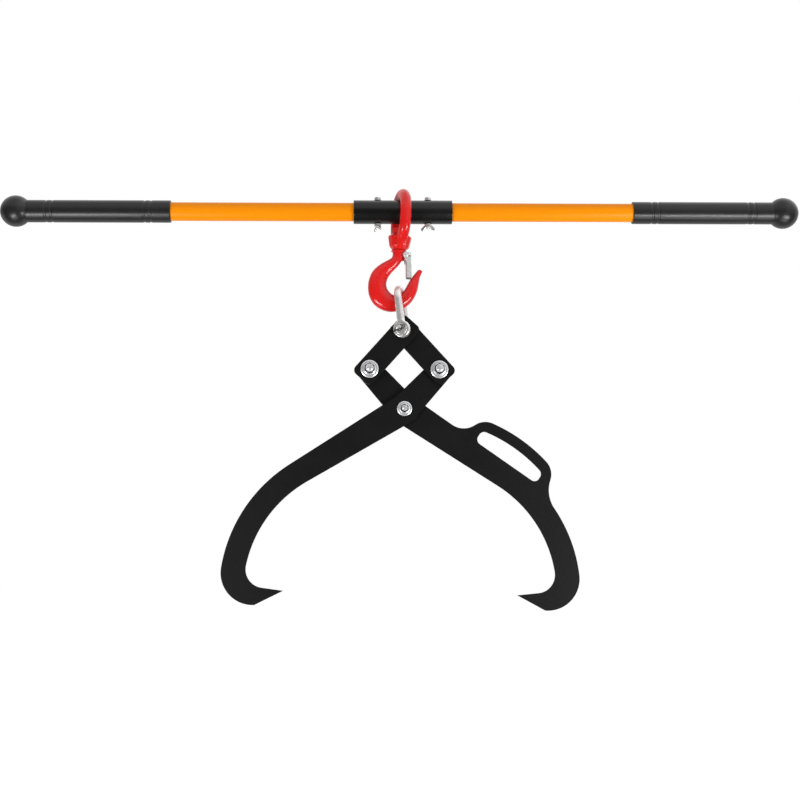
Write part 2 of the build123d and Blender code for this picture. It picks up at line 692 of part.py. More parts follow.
def make_pivot(name, x, z, y_front, y_back, sizes):
    # A bolt from behind, a washer under its head and under its nut, and a lock nut with a nylon ring
    diameter, flats, head_height, nut_height, washer_diameter, washer_thickness = sizes
    nut_seat = y_front - washer_thickness
    head_seat = y_back + washer_thickness
    bolt_end = nut_seat - nut_height - pivot_bolt_end
    bolt = rod_y(diameter / 2, bolt_end, head_seat, x, z)
    bolt = chamfer(bolt.edges().filter_by(GeomType.CIRCLE).sort_by(Axis.Y)[0], diameter * 0.1)
    bolt += Pos(x, head_seat, z) * Rot(-90, 0, 0) * hex_prism(flats, head_height)
    hex_height = nut_height * nut_hex_share
    collar_radius = flats * 0.46
    nut = hex_prism(flats, hex_height)
    collar = Pos(0, 0, (hex_height + nut_height) / 2) * Cylinder(collar_radius, nut_height - hex_height)
    nut += fillet(collar.edges().group_by(Axis.Z)[-1], (nut_height - hex_height) * 0.45)
    nut -= rod_z(diameter / 2 + nut_bore_play, -1, nut_height + 1)
    ring = rod_z(collar_radius - nut_collar_wall, nut_height - nut_insert_height, nut_height)
    nut -= ring
    ring -= rod_z(diameter / 2 + nut_bore_play, 0, nut_height + 1)
    seat = Pos(x, nut_seat, z) * Rot(90, 0, 0)
    washers = []
    for y0, y1 in ((nut_seat, y_front), (y_back, head_seat)):
        disc = rod_y(washer_diameter / 2, y0, y1, x, z - washer_drop)
        disc = fillet(disc.edges().filter_by(GeomType.CIRCLE), washer_thickness * 0.3)
        washers.append(disc - rod_y(diameter / 2 + washer_bore_play, y0, y1, x, z - washer_drop))
    pieces[name + "_pivot_bolt"] = bolt
    pieces[name + "_pivot_nut"] = seat * nut
    pieces[name + "_nut_ring"] = seat * ring
    pieces[name + "_pivot_washers"] = Compound(children=washers)


# Carry bar
half_tube = make_tube_half()
half_grip = make_grip()
pieces["right_tube"] = half_tube
pieces["left_tube"] = mirror(half_tube, Plane.YZ)
pieces["right_grip"] = half_grip
pieces["left_grip"] = mirror(half_grip, Plane.YZ)
pieces["centre_sleeve"] = make_sleeve()
bolt_places = (("left", -bolt_x, left_wing_turn), ("right", bolt_x, right_wing_turn))
for side_name, bolt_place, wing_turn in bolt_places:
    pieces[side_name + "_bar_bolt"] = make_bar_bolt(bolt_place)
    pieces[side_name + "_bar_washer"] = make_bar_washer(bolt_place)
    pieces[side_name + "_wing_nut"] = make_wing_nut(bolt_place, wing_turn)

# Swivel hook, leaning on the bar
swivel_washer_z = eye_floor_z + swivel_play
swivel_nut_top = swivel_washer_z + swivel_washer_thickness + swivel_nut_height
pieces["swivel_eye"] = eye_frame * make_eye()
for piece_name, maker in (
    ("hook", make_hook),
    ("swivel_washer", make_swivel_washer),
    ("swivel_nut", make_swivel_nut),
    ("swivel_nut_pin", make_swivel_pin),
    ("safety_latch", make_latch),
    ("latch_pin", make_latch_pin),
    ("latch_spring", make_latch_spring),
):
    pieces[piece_name] = hook_frame * maker()

# Shackle, with its bow resting in the hook's bowl
bow_reach = bowl_radius - shackle_seat_gap - shackle_rod_diameter / 2
bow_centre = (hook_frame * Pos(hook_point(polar(bowl_centre, bow_reach, bow_rest_angle)))).position
lean = math.radians(shackle_lean)
pin_drop = shackle_leg_length + shackle_jaw / 2 + shackle_rod_diameter / 2
pin_x = bow_centre.X + pin_drop * math.sin(lean)
pin_z = bow_centre.Z - pin_drop * math.cos(lean)
shackle_frame = Location((pin_x, 0, pin_z), (0, -shackle_lean, 0))
shackle_frame *= Location((0, 0, 0), (0, 0, -shackle_turn))
pieces["shackle_bow"] = shackle_frame * make_shackle_bow()
pieces["shackle_pin"] = shackle_frame * make_shackle_pin()

# Tongs, front to back: left link, right link, left arm, right arm
half_width = pivot_spacing * math.sin(math.radians(link_angle))
half_height = pivot_spacing * math.cos(math.radians(link_angle))
centre_x = pin_x
centre_z = pin_z - 2 * half_height
side_z = pin_z - half_height
plate_step = plate_thickness + plate_gap
left_link_y = -plate_thickness - plate_gap / 2
right_link_y = left_link_y + plate_step
left_arm_y = right_link_y + plate_step
right_arm_y = left_arm_y + plate_step
right_seat = left_arm_y + plate_thickness + washer_back_gap
back_seat = right_arm_y + plate_thickness + washer_back_gap
centre_bolt_radius = centre_pivot_sizes[0] / 2
pieces["left_link"] = make_link(pin_x, pin_z, -1, left_link_y)
pieces["right_link"] = make_link(pin_x, pin_z, 1, right_link_y)
left_face = arm_face(left_arm_drop, left_limb_end, plain_edge())
left_hole = centre_bolt_radius + nut_bore_play
pieces["left_arm"] = make_arm(-1, left_arm_drop, left_arm_y, left_face, left_hole)
right_face = arm_face(right_arm_drop, right_limb_end, hand_loop_edge()) - hand_slot_face()
right_hole = centre_bolt_radius + centre_hole_play
pieces["right_arm"] = make_arm(1, right_arm_drop, right_arm_y, right_face, right_hole)
make_pivot("left", pin_x - half_width, side_z, left_link_y, back_seat, link_pivot_sizes)
make_pivot("right", pin_x + half_width, side_z, right_link_y, right_seat, link_pivot_sizes)
make_pivot("centre", centre_x, centre_z, left_arm_y, back_seat, centre_pivot_sizes)
spacer_ends = (left_link_y + plate_thickness, right_arm_y - washer_back_gap)
spacer = rod_y(link_pivot_sizes[0] / 2 + spacer_wall, *spacer_ends, pin_x - half_width, side_z)
spacer -= rod_y(link_pivot_sizes[0] / 2 + nut_bore_play, *spacer_ends, pin_x - half_width, side_z)
pieces["left_pivot_spacer"] = spacer

print("shackle bow centre", bow_centre)
print("shackle pin", round(pin_x, 3), round(pin_z, 3), "side pivots", round(half_width, 3), round(side_z, 3))
print("centre pivot", round(centre_x, 3), round(centre_z, 3))

os.makedirs("parts", exist_ok=True)
for piece_name, shape in pieces.items():
    shape.label = piece_name
    export_step(shape, "parts/" + piece_name + ".step")
print(len(pieces), "nodes written")
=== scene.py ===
import math

import bmesh
import bpy
import numpy as np
from mathutils import Matrix, Vector


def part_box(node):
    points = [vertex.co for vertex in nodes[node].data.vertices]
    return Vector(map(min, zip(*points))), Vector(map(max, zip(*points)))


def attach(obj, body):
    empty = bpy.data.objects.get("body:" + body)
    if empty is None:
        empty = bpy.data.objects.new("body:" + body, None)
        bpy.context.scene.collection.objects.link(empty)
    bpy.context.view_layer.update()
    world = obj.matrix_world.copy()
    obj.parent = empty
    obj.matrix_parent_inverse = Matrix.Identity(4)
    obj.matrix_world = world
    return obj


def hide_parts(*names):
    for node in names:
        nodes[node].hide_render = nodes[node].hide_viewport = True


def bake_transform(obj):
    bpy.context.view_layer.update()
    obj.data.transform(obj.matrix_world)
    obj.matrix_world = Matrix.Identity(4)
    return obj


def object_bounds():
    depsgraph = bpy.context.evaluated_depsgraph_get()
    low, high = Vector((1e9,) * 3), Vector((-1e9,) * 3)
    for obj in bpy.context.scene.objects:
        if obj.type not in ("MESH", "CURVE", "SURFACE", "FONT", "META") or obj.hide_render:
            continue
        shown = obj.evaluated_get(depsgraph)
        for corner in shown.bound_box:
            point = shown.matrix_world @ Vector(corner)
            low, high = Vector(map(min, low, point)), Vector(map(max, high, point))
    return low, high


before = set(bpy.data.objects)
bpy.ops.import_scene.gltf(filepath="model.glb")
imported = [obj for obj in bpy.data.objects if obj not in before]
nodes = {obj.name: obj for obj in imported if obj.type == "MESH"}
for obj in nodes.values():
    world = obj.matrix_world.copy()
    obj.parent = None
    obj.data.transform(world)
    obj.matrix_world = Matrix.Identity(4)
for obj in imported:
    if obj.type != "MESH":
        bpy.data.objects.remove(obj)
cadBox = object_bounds()
scene = bpy.context.scene
mm = 0.001
print("frame loaded with", len(nodes), "pieces")


# Shader tools: a node with its values set, sums and ranges of values, and a group with named sockets
def addNode(tree, kind, inputs=None, **values):
    node = tree.nodes.new(kind)
    for key, value in values.items():
        setattr(node, key, value)
    for key, value in (inputs or {}).items():
        if isinstance(value, bpy.types.NodeSocket):
            tree.links.new(value, node.inputs[key])
        else:
            node.inputs[key].default_value = value
    return node


def mathNode(tree, operation, first, second=0.0):
    return addNode(tree, "ShaderNodeMath", {0: first, 1: second}, operation=operation).outputs[0]


def vectorNode(tree, operation, first, second):
    return addNode(tree, "ShaderNodeVectorMath", {0: first, 1: second}, operation=operation)


def scaled(tree, vector, factor):
    node = addNode(tree, "ShaderNodeVectorMath", {0: vector, "Scale": factor}, operation="SCALE")
    return node.outputs["Vector"]


def spread(tree, value, low, high, fromLow=0.0, fromHigh=1.0):
    limits = {"From Min": fromLow, "From Max": fromHigh, "To Min": low, "To Max": high}
    return addNode(tree, "ShaderNodeMapRange", {"Value": value, **limits}).outputs["Result"]


def stepAt(tree, value, before, after, place, half):
    # Goes from before to after within half a width each side of a place in millimetres
    return spread(tree, value, before, after, (place - half) * mm, (place + half) * mm)


def startGroup(name, colours, values):
    group = bpy.data.node_groups.new(name, "ShaderNodeTree")
    for way, kind, labels in (("INPUT", "Color", colours), ("INPUT", "Float", values),
                              ("OUTPUT", "Color", ["Colour"]), ("OUTPUT", "Float", ["Roughness", "Height"])):
        for label in labels:
            group.interface.new_socket(label, in_out=way, socket_type="NodeSocket" + kind)
    return group, group.nodes.new("NodeGroupInput").outputs, group.nodes.new("NodeGroupOutput").inputs


# Grain of a coat: a slow drift and a fine speckle shade the colour, the same speckle roughens and lifts it
def makeCoatGrain():
    slowScale, fineShare, slowShare, gain = 0.035, 0.45, 0.55, 4.0
    group, given, result = startGroup("coatGrain", ["Colour"], ["Shade", "Scale", "Rough", "Rough Spread"])
    place = addNode(group, "ShaderNodeTexCoord").outputs["Object"]
    drift = mathNode(group, "MULTIPLY", given["Scale"], slowScale)
    fine = addNode(group, "ShaderNodeTexNoise", {"Vector": place, "Scale": given["Scale"], "Detail": 3.0})
    slow = addNode(group, "ShaderNodeTexNoise", {"Vector": place, "Scale": drift, "Detail": 2.0})
    both = mathNode(group, "ADD", mathNode(group, "MULTIPLY", fine.outputs["Fac"], fineShare),
                    mathNode(group, "MULTIPLY", slow.outputs["Fac"], slowShare))
    swing = mathNode(group, "MULTIPLY", mathNode(group, "SUBTRACT", both, 0.5), gain)
    shadeSwing = mathNode(group, "MULTIPLY", swing, given["Shade"])
    roughSwing = mathNode(group, "MULTIPLY", swing, given["Rough Spread"])
    shaded = scaled(group, given["Colour"], mathNode(group, "ADD", shadeSwing, 1.0))
    group.links.new(shaded, result["Colour"])
    group.links.new(mathNode(group, "ADD", roughSwing, given["Rough"]), result["Roughness"])
    group.links.new(fine.outputs["Fac"], result["Height"])
    return group


# Zinc bloom: soft crystal patches of two tones, each with its own gloss
def makeZincBloom():
    bendSize, cellShare, cloudShare, cloudScale = 0.0014, 0.4, 0.6, 0.4
    group, given, result = startGroup("zincBloom", ["Light", "Dark"], ["Scale", "Rough", "Rough Spread"])
    place = addNode(group, "ShaderNodeTexCoord").outputs["Object"]
    bend = addNode(group, "ShaderNodeTexNoise", {"Vector": place, "Scale": given["Scale"], "Detail": 2.0})
    moved = vectorNode(group, "ADD", place, scaled(group, bend.outputs["Color"], bendSize)).outputs["Vector"]
    cells = addNode(group, "ShaderNodeTexVoronoi", {"Vector": moved, "Scale": given["Scale"]})
    grey = addNode(group, "ShaderNodeSeparateColor", {"Color": cells.outputs["Color"]}).outputs["Red"]
    wide = mathNode(group, "MULTIPLY", given["Scale"], cloudScale)
    cloud = addNode(group, "ShaderNodeTexNoise", {"Vector": place, "Scale": wide, "Detail": 4.0})
    share = mathNode(group, "ADD", mathNode(group, "MULTIPLY", grey, cellShare),
                     mathNode(group, "MULTIPLY", cloud.outputs["Fac"], cloudShare))
    tone = addNode(group, "ShaderNodeMix", {"Factor": share, "A": given["Dark"], "B": given["Light"]},
                   data_type="RGBA")
    swing = mathNode(group, "MULTIPLY", mathNode(group, "SUBTRACT", share, 0.5), given["Rough Spread"])
    group.links.new(tone.outputs["Result"], result["Colour"])
    group.links.new(mathNode(group, "ADD", given["Rough"], swing), result["Roughness"])
    group.links.new(cloud.outputs["Fac"], result["Height"])
    return group


coatGrain = makeCoatGrain()
zincBloom = makeZincBloom()


def startMaterial(name, setting, value):
    material = bpy.data.materials.new(name)
    material.use_nodes = True
    shader = material.node_tree.nodes["Principled BSDF"]
    shader.inputs[setting].default_value = value
    return material, material.node_tree, shader


def endMaterial(tree, shader, effect, colour, finish):
    bump = addNode(tree, "ShaderNodeBump", {
        "Height": effect.outputs["Height"], "Distance": finish["lift"] * mm, "Strength": finish["bump"]})
    tree.links.new(colour, shader.inputs["Base Color"])
    tree.links.new(effect.outputs["Roughness"], shader.inputs["Roughness"])
    tree.links.new(bump.outputs["Normal"], shader.inputs["Normal"])


def coatMaterial(name, finish):
    material, tree, shader = startMaterial(name, "Specular IOR Level", finish["gloss"])
    grain = addNode(tree, "ShaderNodeGroup", {
        "Colour": (*finish["colour"], 1), "Shade": finish["shade"], "Scale": finish["scale"],
        "Rough": finish["rough"], "Rough Spread": finish["roughSpread"]}, node_tree=coatGrain)
    endMaterial(tree, shader, grain, grain.outputs["Colour"], finish)
    return material


def channelPaintedShade(tree, channel):
    # Painted shade inside a folded channel: less than the channel's half width off the middle plane, the
    # colour is darkened
    place = addNode(tree, "ShaderNodeTexCoord").outputs["Object"]
    across = addNode(tree, "ShaderNodeSeparateXYZ", {"Vector": place}).outputs["Y"]
    off = mathNode(tree, "ABSOLUTE", across)
    return stepAt(tree, off, channel["paintedShade"], 1.0, channel["half"], channel["edge"])


def tabPaintedShade(tree, tab):
    # Painted shade on the tab past the collar, save its nose, which is left bright as a painted highlight;
    # both are read along the pin's axis
    place = addNode(tree, "ShaderNodeTexCoord").outputs["Object"]
    start = tuple(value * mm for value in tab["from"])
    reach = vectorNode(tree, "SUBTRACT", place, start).outputs["Vector"]
    along = vectorNode(tree, "DOT_PRODUCT", reach, tab["axis"]).outputs["Value"]
    paintedShade = stepAt(tree, along, tab["paintedShade"], 1.0, tab["root"], tab["rootEdge"])
    paintedNoseHighlight = stepAt(tree, along, 1.0, 0.0, tab["nose"], tab["noseEdge"])
    return mathNode(tree, "MAXIMUM", paintedShade, paintedNoseHighlight)


def zincMaterial(name, finish):
    material, tree, shader = startMaterial(name, "Metallic", finish["metal"])
    bloom = addNode(tree, "ShaderNodeGroup", {
        "Light": (*finish["light"], 1), "Dark": (*finish["dark"], 1), "Scale": finish["scale"],
        "Rough": finish["rough"], "Rough Spread": finish["roughSpread"]}, node_tree=zincBloom)
    colour = bloom.outputs["Colour"]
    # A channel or tab entry darkens the colour as painted shade; a tab keeps its nose bright as a painted
    # highlight
    if "channel" in finish:
        colour = scaled(tree, colour, channelPaintedShade(tree, finish["channel"]))
    if "tab" in finish:
        colour = scaled(tree, colour, tabPaintedShade(tree, finish["tab"]))
    endMaterial(tree, shader, bloom, colour, finish)
    return material


finishes = {
    "orangeEnamel": {"colour": (0.79, 0.238, 0.0), "shade": 0.02, "scale": 700.0, "rough": 0.27,
                     "roughSpread": 0.04, "gloss": 0.12, "bump": 0.05, "lift": 0.1},
    "sleeveBlack": {"colour": (0.0045, 0.0044, 0.0042), "shade": 0.1, "scale": 900.0, "rough": 0.27,
                    "roughSpread": 0.05, "gloss": 0.5, "bump": 0.06, "lift": 0.1},
    "gripRubber": {"colour": (0.012, 0.012, 0.012), "shade": 0.12, "scale": 1500.0, "rough": 0.33,
                   "roughSpread": 0.05, "gloss": 0.45, "bump": 0.12, "lift": 0.1},
    "plateBlack": {"colour": (0.0055, 0.0055, 0.0055), "shade": 0.12, "scale": 1300.0, "rough": 0.5,
                   "roughSpread": 0.06, "gloss": 0.12, "bump": 0.2, "lift": 0.12},
    "forgeRed": {"colour": (0.61, 0.009, 0.008), "shade": 0.04, "scale": 300.0, "rough": 0.17,
                 "roughSpread": 0.04, "gloss": 0.5, "bump": 0.34, "lift": 0.4},
    "nylonRing": {"colour": (0.60, 0.61, 0.62), "shade": 0.06, "scale": 1500.0, "rough": 0.5,
                  "roughSpread": 0.05, "gloss": 0.2, "bump": 0.1, "lift": 0.1},
}
plated = {"scale": 260.0, "roughSpread": 0.1, "bump": 0.05, "lift": 0.1, "metal": 0.72}
platings = {
    "brightZinc": {**plated, "light": (0.84, 0.85, 0.87), "dark": (0.74, 0.75, 0.77), "rough": 0.34},
    # The lock nuts' plating is painted near black: painted shade for the dark reflections on their chamfers
    "nutZincPaintedDark": {**plated, "light": (0.09, 0.09, 0.10), "dark": (0.06, 0.06, 0.07), "rough": 0.3,
                "metal": 1.0},
    "wingZinc": {**plated, "light": (0.84, 0.83, 0.82), "dark": (0.72, 0.71, 0.70), "scale": 160.0,
                 "rough": 0.24, "metal": 0.78},
    "pinZinc": {**plated, "light": (0.88, 0.87, 0.86), "dark": (0.78, 0.77, 0.76), "scale": 160.0,
                "rough": 0.24,
                # The tab entry paints shade on the tab past the collar and keeps a painted highlight on its
                # nose
                "tab": {"from": (1.277, 0.0, -161.72), "axis": (0.232, 0.972, 0.028), "paintedShade": 0.16,
                        "root": -24.0, "rootEdge": 0.2, "nose": -40.9, "noseEdge": 0.25}},
    "shackleZinc": {**plated, "light": (0.88, 0.87, 0.86), "dark": (0.78, 0.77, 0.76), "scale": 160.0,
                    "rough": 0.25, "lift": 0.15},
    # latchZinc's channel entry darkens the inside of the channel as painted shade
    "latchZinc": {**plated, "light": (0.86, 0.87, 0.85), "dark": (0.78, 0.79, 0.78), "rough": 0.4,
                  "metal": 0.66, "channel": {"half": 7.4, "edge": 0.3, "paintedShade": 0.25}},
    "springSteel": {**plated, "light": (0.56, 0.55, 0.54), "dark": (0.40, 0.40, 0.40), "scale": 900.0,
                    "rough": 0.25, "bump": 0.1, "metal": 1.0},
}
materials = {name: coatMaterial(name, finish) for name, finish in finishes.items()}
materials.update({name: zincMaterial(name, finish) for name, finish in platings.items()})
print("materials made:", len(materials))


def finishOf(nodeName):
    for word, finish in (("shackle", "shackleZinc"), ("tube", "orangeEnamel"), ("sleeve", "sleeveBlack"),
                         ("grip", "gripRubber"), ("link", "plateBlack"), ("arm", "plateBlack"),
                         ("swivel_eye", "forgeRed"), ("hook", "forgeRed"), ("nut_ring", "nylonRing"),
                         ("safety_latch", "latchZinc"), ("latch_pin", "latchZinc"),
                         ("spring", "springSteel")):
        if word in nodeName:
            return materials[finish]
    return materials["brightZinc"]


for nodeName, node in nodes.items():
    for slot in node.material_slots:
        slot.material = finishOf(nodeName)
print("finishes given to the carried-over pieces")

# Surfaces: rows of points along a piece and columns round it, in millimetres
origin, alongX, alongY, alongZ = (0, 0, 0), (1, 0, 0), (0, 1, 0), (0, 0, 1)
front = np.array([0, -1.0, 0])
cornerShare = 0.577


def roundGrid(points, capped=False):
    # Neighbours in row and column make quads and the last column joins the first; the last row joins the
    # first too, or else each end row is capped by a fan to its middle point
    rows, columns = points.shape[:2]
    row = np.arange(rows - 1 if capped else rows)[:, None]
    column = np.arange(columns)[None, :]
    following = (row + 1) % rows * columns
    beside = (column + 1) % columns
    quads = np.stack([row * columns + column, row * columns + beside, following + beside, following + column],
                     axis=-1)
    faces = quads.reshape(-1, 4).tolist()
    flat = points.reshape(-1, 3)
    for line in (0, rows - 1) if capped else ():
        fan = np.stack([line * columns + column[0], line * columns + beside[0], np.full(columns, len(flat))],
                       axis=-1)
        faces += fan.tolist()
        flat = np.vstack([flat, points[line].mean(axis=0)])
    return flat, faces


def softCorners(corners, reach, steps=5, closed=False):
    # Each corner becomes a curve (1-t)^2 a + 2t(1-t) corner + t^2 b between points a and b on its two sides,
    # at most the reach away and just short of a side's middle
    corners = np.asarray(corners, float)
    before = np.roll(corners, 1, axis=0) - corners
    after = np.roll(corners, -1, axis=0) - corners
    lengths = [np.linalg.norm(side, axis=1, keepdims=True) + 1e-9 for side in (before, after)]
    limit = np.minimum(np.minimum(lengths[0], lengths[1]) * 0.48, reach)
    start = (corners + before / lengths[0] * limit)[:, None]
    end = (corners + after / lengths[1] * limit)[:, None]
    share = np.linspace(0, 1, steps)[None, :, None]
    curve = (1 - share) ** 2 * start + 2 * share * (1 - share) * corners[:, None] + share**2 * end
    if closed:
        return curve.reshape(-1, 2)
    return np.vstack([corners[:1], curve[1:-1].reshape(-1, 2), corners[-1:]])


def circleAngles(count):
    # Even steps of a full turn, without the one that meets the first again
    return np.linspace(0, 2 * np.pi, count, endpoint=False)


def xyz(x, y, z):
    # Points from three grids of coordinates, stretched to one shape
    return np.stack(np.broadcast_arrays(x, y, z), axis=-1)


def bulged(wave, power):
    # The wave's size raised to a power with its sign kept: a power below 1 fills a circle out to an oblong
    return np.sign(wave) * np.abs(wave) ** power


def roundedOff(share, most=1.0):
    # A quarter circle from 1 at share 0 to 0 at share 1, held level once the share reaches most
    return np.sqrt(np.clip(1 - np.clip(share, 0, most) ** 2, 0, 1))


def blunted(fade):
    # Keeps nearly half of a width where the fade reaches 0
    return 0.45 + 0.55 * fade


def rotated(first, second, degrees):
    # Two coordinates turned in their plane, the first towards the second
    c, s = math.cos(math.radians(degrees)), math.sin(math.radians(degrees))
    return first * c - second * s, first * s + second * c


def turned(profile, place, axis, across, columns=72, flats=0.0, extra=0.0):
    # place + axis * height + (radius + extra) * circle; flats trims the circle to a hexagon that wide
    axis, across = np.asarray(axis, float), np.asarray(across, float)
    angle = circleAngles(columns)[None, :]
    radius = np.repeat(profile[:, 1:2], columns, axis=1) + extra
    if flats:
        radius = np.minimum(radius, flats / 2 / np.cos((angle + np.pi / 6) % (np.pi / 3) - np.pi / 6))
    circle = np.cos(angle)[..., None] * across + np.sin(angle)[..., None] * np.cross(axis, across)
    return np.asarray(place, float) + profile[:, :1, None] * axis + radius[..., None] * circle


def ringGrid(seat, axis, across, bottom, top, inner, outer, edge, columns=72):
    # A four-cornered section with soft corners, turned about the axis
    loop = softCorners([(bottom, inner), (bottom, outer), (top, outer), (top, inner)], edge, closed=True)
    return turned(loop, seat, axis, across, columns)


def smoothThrough(values, places):
    # Natural cubic through rows of values, the first four of them two points that set the rows' distances;
    # the bends at the rows come from one linear solve
    gaps = np.linalg.norm(np.diff(values[:, :4], axis=0), axis=1)
    knots = np.concatenate([[0], np.cumsum(gaps)])
    count = len(knots)
    system, pull = np.eye(count), np.zeros_like(values)
    inner = np.arange(1, count - 1)
    system[inner, inner - 1], system[inner, inner + 1] = gaps[:-1], gaps[1:]
    system[inner, inner] = 2 * (gaps[:-1] + gaps[1:])
    slopes = np.diff(values, axis=0) / gaps[:, None]
    pull[inner] = 6 * (slopes[1:] - slopes[:-1])
    bends = np.linalg.solve(system, pull)
    wanted = places * knots[-1]
    span = np.clip(np.searchsorted(knots, wanted) - 1, 0, count - 2)
    low, high = (wanted - knots[span])[:, None], (knots[span + 1] - wanted)[:, None]
    gap = gaps[span][:, None]
    return ((bends[span] * high**3 + bends[span + 1] * low**3) / (6 * gap)
            + (values[span] / gap - bends[span] * gap / 6) * high
            + (values[span + 1] / gap - bends[span + 1] * gap / 6) * low), knots[-1]


def capsuleSlab(first, second, radius, half, edge, columns=48):
    # A flat bar with round ends between two points in the XZ plane, its rims rounded over the edge width
    angle = circleAngles(columns)
    heading = math.atan2(second[1] - first[1], second[0] - first[0])
    ends = np.where(np.cos(angle - heading)[:, None] > 0, np.asarray(second, float), np.asarray(first, float))
    ring = np.stack([np.cos(angle), np.sin(angle)], axis=1)
    bend = np.linspace(0, np.pi / 2, 5)
    inset = np.concatenate([edge * (1 - np.sin(bend)), edge * (1 - np.cos(bend))])
    depth = np.concatenate([edge * (1 - np.cos(bend)) - half, half - edge * (1 - np.sin(bend))])
    flat = ends[None] + ring[None] * (radius - inset)[:, None, None]
    return xyz(flat[..., 0], depth[:, None], flat[..., 1])


def addObject(name, data):
    holder = bpy.data.objects.new(name, data)
    scene.collection.objects.link(holder)
    return holder


def addPiece(name, body, replaced, finish, shells, sharpAngle=32):
    # Shells are in the row frame; normals are turned outwards and edges past the angle kept crisp.
    # A piece with no body is left unattached
    starts = np.cumsum([0] + [len(points) for points, faces in shells])
    points = np.vstack([shell[0] for shell in shells]) * mm
    faces = [[corner + int(start) for corner in face]
             for start, shell in zip(starts, shells) for face in shell[1]]
    mesh = bpy.data.meshes.new(name)
    mesh.from_pydata(points.tolist(), [], faces)
    work = bmesh.new()
    work.from_mesh(mesh)
    bmesh.ops.recalc_face_normals(work, faces=work.faces)
    work.to_mesh(mesh)
    work.free()
    mesh.shade_smooth()
    mesh.set_sharp_from_angle(angle=math.radians(sharpAngle))
    mesh.materials.append(materials[finish])
    piece = addObject(name, mesh)
    if body:
        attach(piece, body)
    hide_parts(*replaced)
    return piece


# Carry bar: tubes, sleeve and moulded grips
tubeSizes = {"bottom": 0.5, "top": 514.0, "inner": 10.5, "outer": 12.5, "edge": 0.5, "columns": 96}
sleeveSizes = {"bottom": -66.5, "top": 66.5, "inner": 12.65, "outer": 16.0, "edge": 0.8, "columns": 96}
gripSizes = {"mouth": 312.0, "radius": 15.0, "bore": 12.55, "boreEnd": 514.0, "lip": 1.2, "ballCentre": 519.0,
             "ballRadius": 21.0, "neckBlend": 3.0, "groovePairs": (30.9, 162.4), "pairSpacing": 8.3,
             "grooveWidth": 4.0, "grooveFloor": 1.8, "grooveDepth": 0.5, "grooveReach": 3.2}


def gripShell(side, sizes):
    # Height runs out along the bar: bore, lip, barrel less a flat-floored dip at each groove, neck, ball
    radius, blend, ball, mouth = (sizes[key] for key in ("radius", "neckBlend", "ballRadius", "mouth"))
    neck = math.acos((radius + blend) / (ball + blend))
    neckStart = sizes["ballCentre"] - (ball + blend) * math.sin(neck)
    bore = np.array([(sizes["boreEnd"], 0.4), (sizes["boreEnd"], sizes["bore"]), (mouth + 0.6, sizes["bore"]),
                     (mouth, sizes["bore"] + 0.5)])
    lipTurn = np.linspace(np.pi, np.pi / 2, 7)
    lip = np.stack([mouth + sizes["lip"] * (1 + np.cos(lipTurn)),
                    radius - sizes["lip"] * (1 - np.sin(lipTurn))], axis=1)
    half = sizes["pairSpacing"] / 2
    middles = mouth + np.array([pair + step for pair in sizes["groovePairs"] for step in (-half, half)])
    fine = (middles[:, None] + np.linspace(-sizes["grooveReach"], sizes["grooveReach"], 33)[None, :]).ravel()
    along = np.unique(np.concatenate([np.linspace(mouth + sizes["lip"] + 0.5, neckStart, 34), fine]))
    off = np.abs(along[:, None] - middles[None, :])
    slope = (sizes["grooveWidth"] - sizes["grooveFloor"]) / 2
    flank = np.clip((sizes["grooveWidth"] / 2 - off) / slope, 0, 1)
    dip = sizes["grooveDepth"] * flank**2 * (3 - 2 * flank)
    barrel = np.stack([along, radius - dip.sum(axis=1)], axis=1)
    neckTurn = np.linspace(0, neck, 8)[1:]
    neckCurve = np.stack([neckStart + blend * np.sin(neckTurn),
                          radius + blend - blend * np.cos(neckTurn)], axis=1)
    ballTurn = np.linspace(np.pi / 2 + neck, 0.02, 34)[1:]
    ballCurve = np.stack([sizes["ballCentre"] + ball * np.cos(ballTurn), ball * np.sin(ballTurn)], axis=1)
    profile = np.vstack([bore, lip, barrel, neckCurve, ballCurve])
    return roundGrid(turned(profile, origin, (side, 0, 0), alongY, 80), capped=True)


for sideName, side in (("left", -1), ("right", 1)):
    addPiece(sideName + "Tube", "carry_bar", [sideName + "_tube"], "orangeEnamel",
             [roundGrid(ringGrid(origin, (side, 0, 0), alongY, **tubeSizes))])
    addPiece(sideName + "Grip", "carry_bar", [sideName + "_grip"], "gripRubber",
             [gripShell(side, gripSizes)], 50)
addPiece("centreSleeve", "carry_bar", ["centre_sleeve"], "sleeveBlack",
         [roundGrid(ringGrid(origin, alongX, alongY, **sleeveSizes))])
print("carry bar built")

# Fasteners: bolts with a hexagon head and a rolled thread, lock nuts, washers and wing nuts
sidePivotSizes = {"thread": 8.0, "flats": 13.0, "pitch": 1.25, "washer": 24.0, "sheet": 2.0}
pivotSizes = {
    "left": {"body": "left_link", **sidePivotSizes},
    "right": {"body": "right_link", **sidePivotSizes},
    "centre": {"body": "left_arm", "thread": 6.0, "flats": 10.0, "pitch": 1.0, "washer": 20.0, "sheet": 1.6},
}
barBoltSizes = {"thread": 5.0, "flats": 8.0, "pitch": 0.8, "washer": 10.0, "sheet": 1.0}
wingSizes = {"base": 10.0, "top": 8.0, "height": 5.0, "bore": 5.12, "thick": 2.0, "reach": (2.9, 6.0),
             "rise": (2.9, 6.4), "half": (2.0, 0.3), "root": 0.3, "roundFrom": 0.72,
             "turns": {"left": 62.0, "right": 10.0}}
washerPlay, collarShare, collarWall = 0.6, 0.46, 0.6


def nodeSpan(nodeName):
    # The two corners of a node's box, in millimetres
    low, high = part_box(nodeName)
    return np.array(low) / mm, np.array(high) / mm


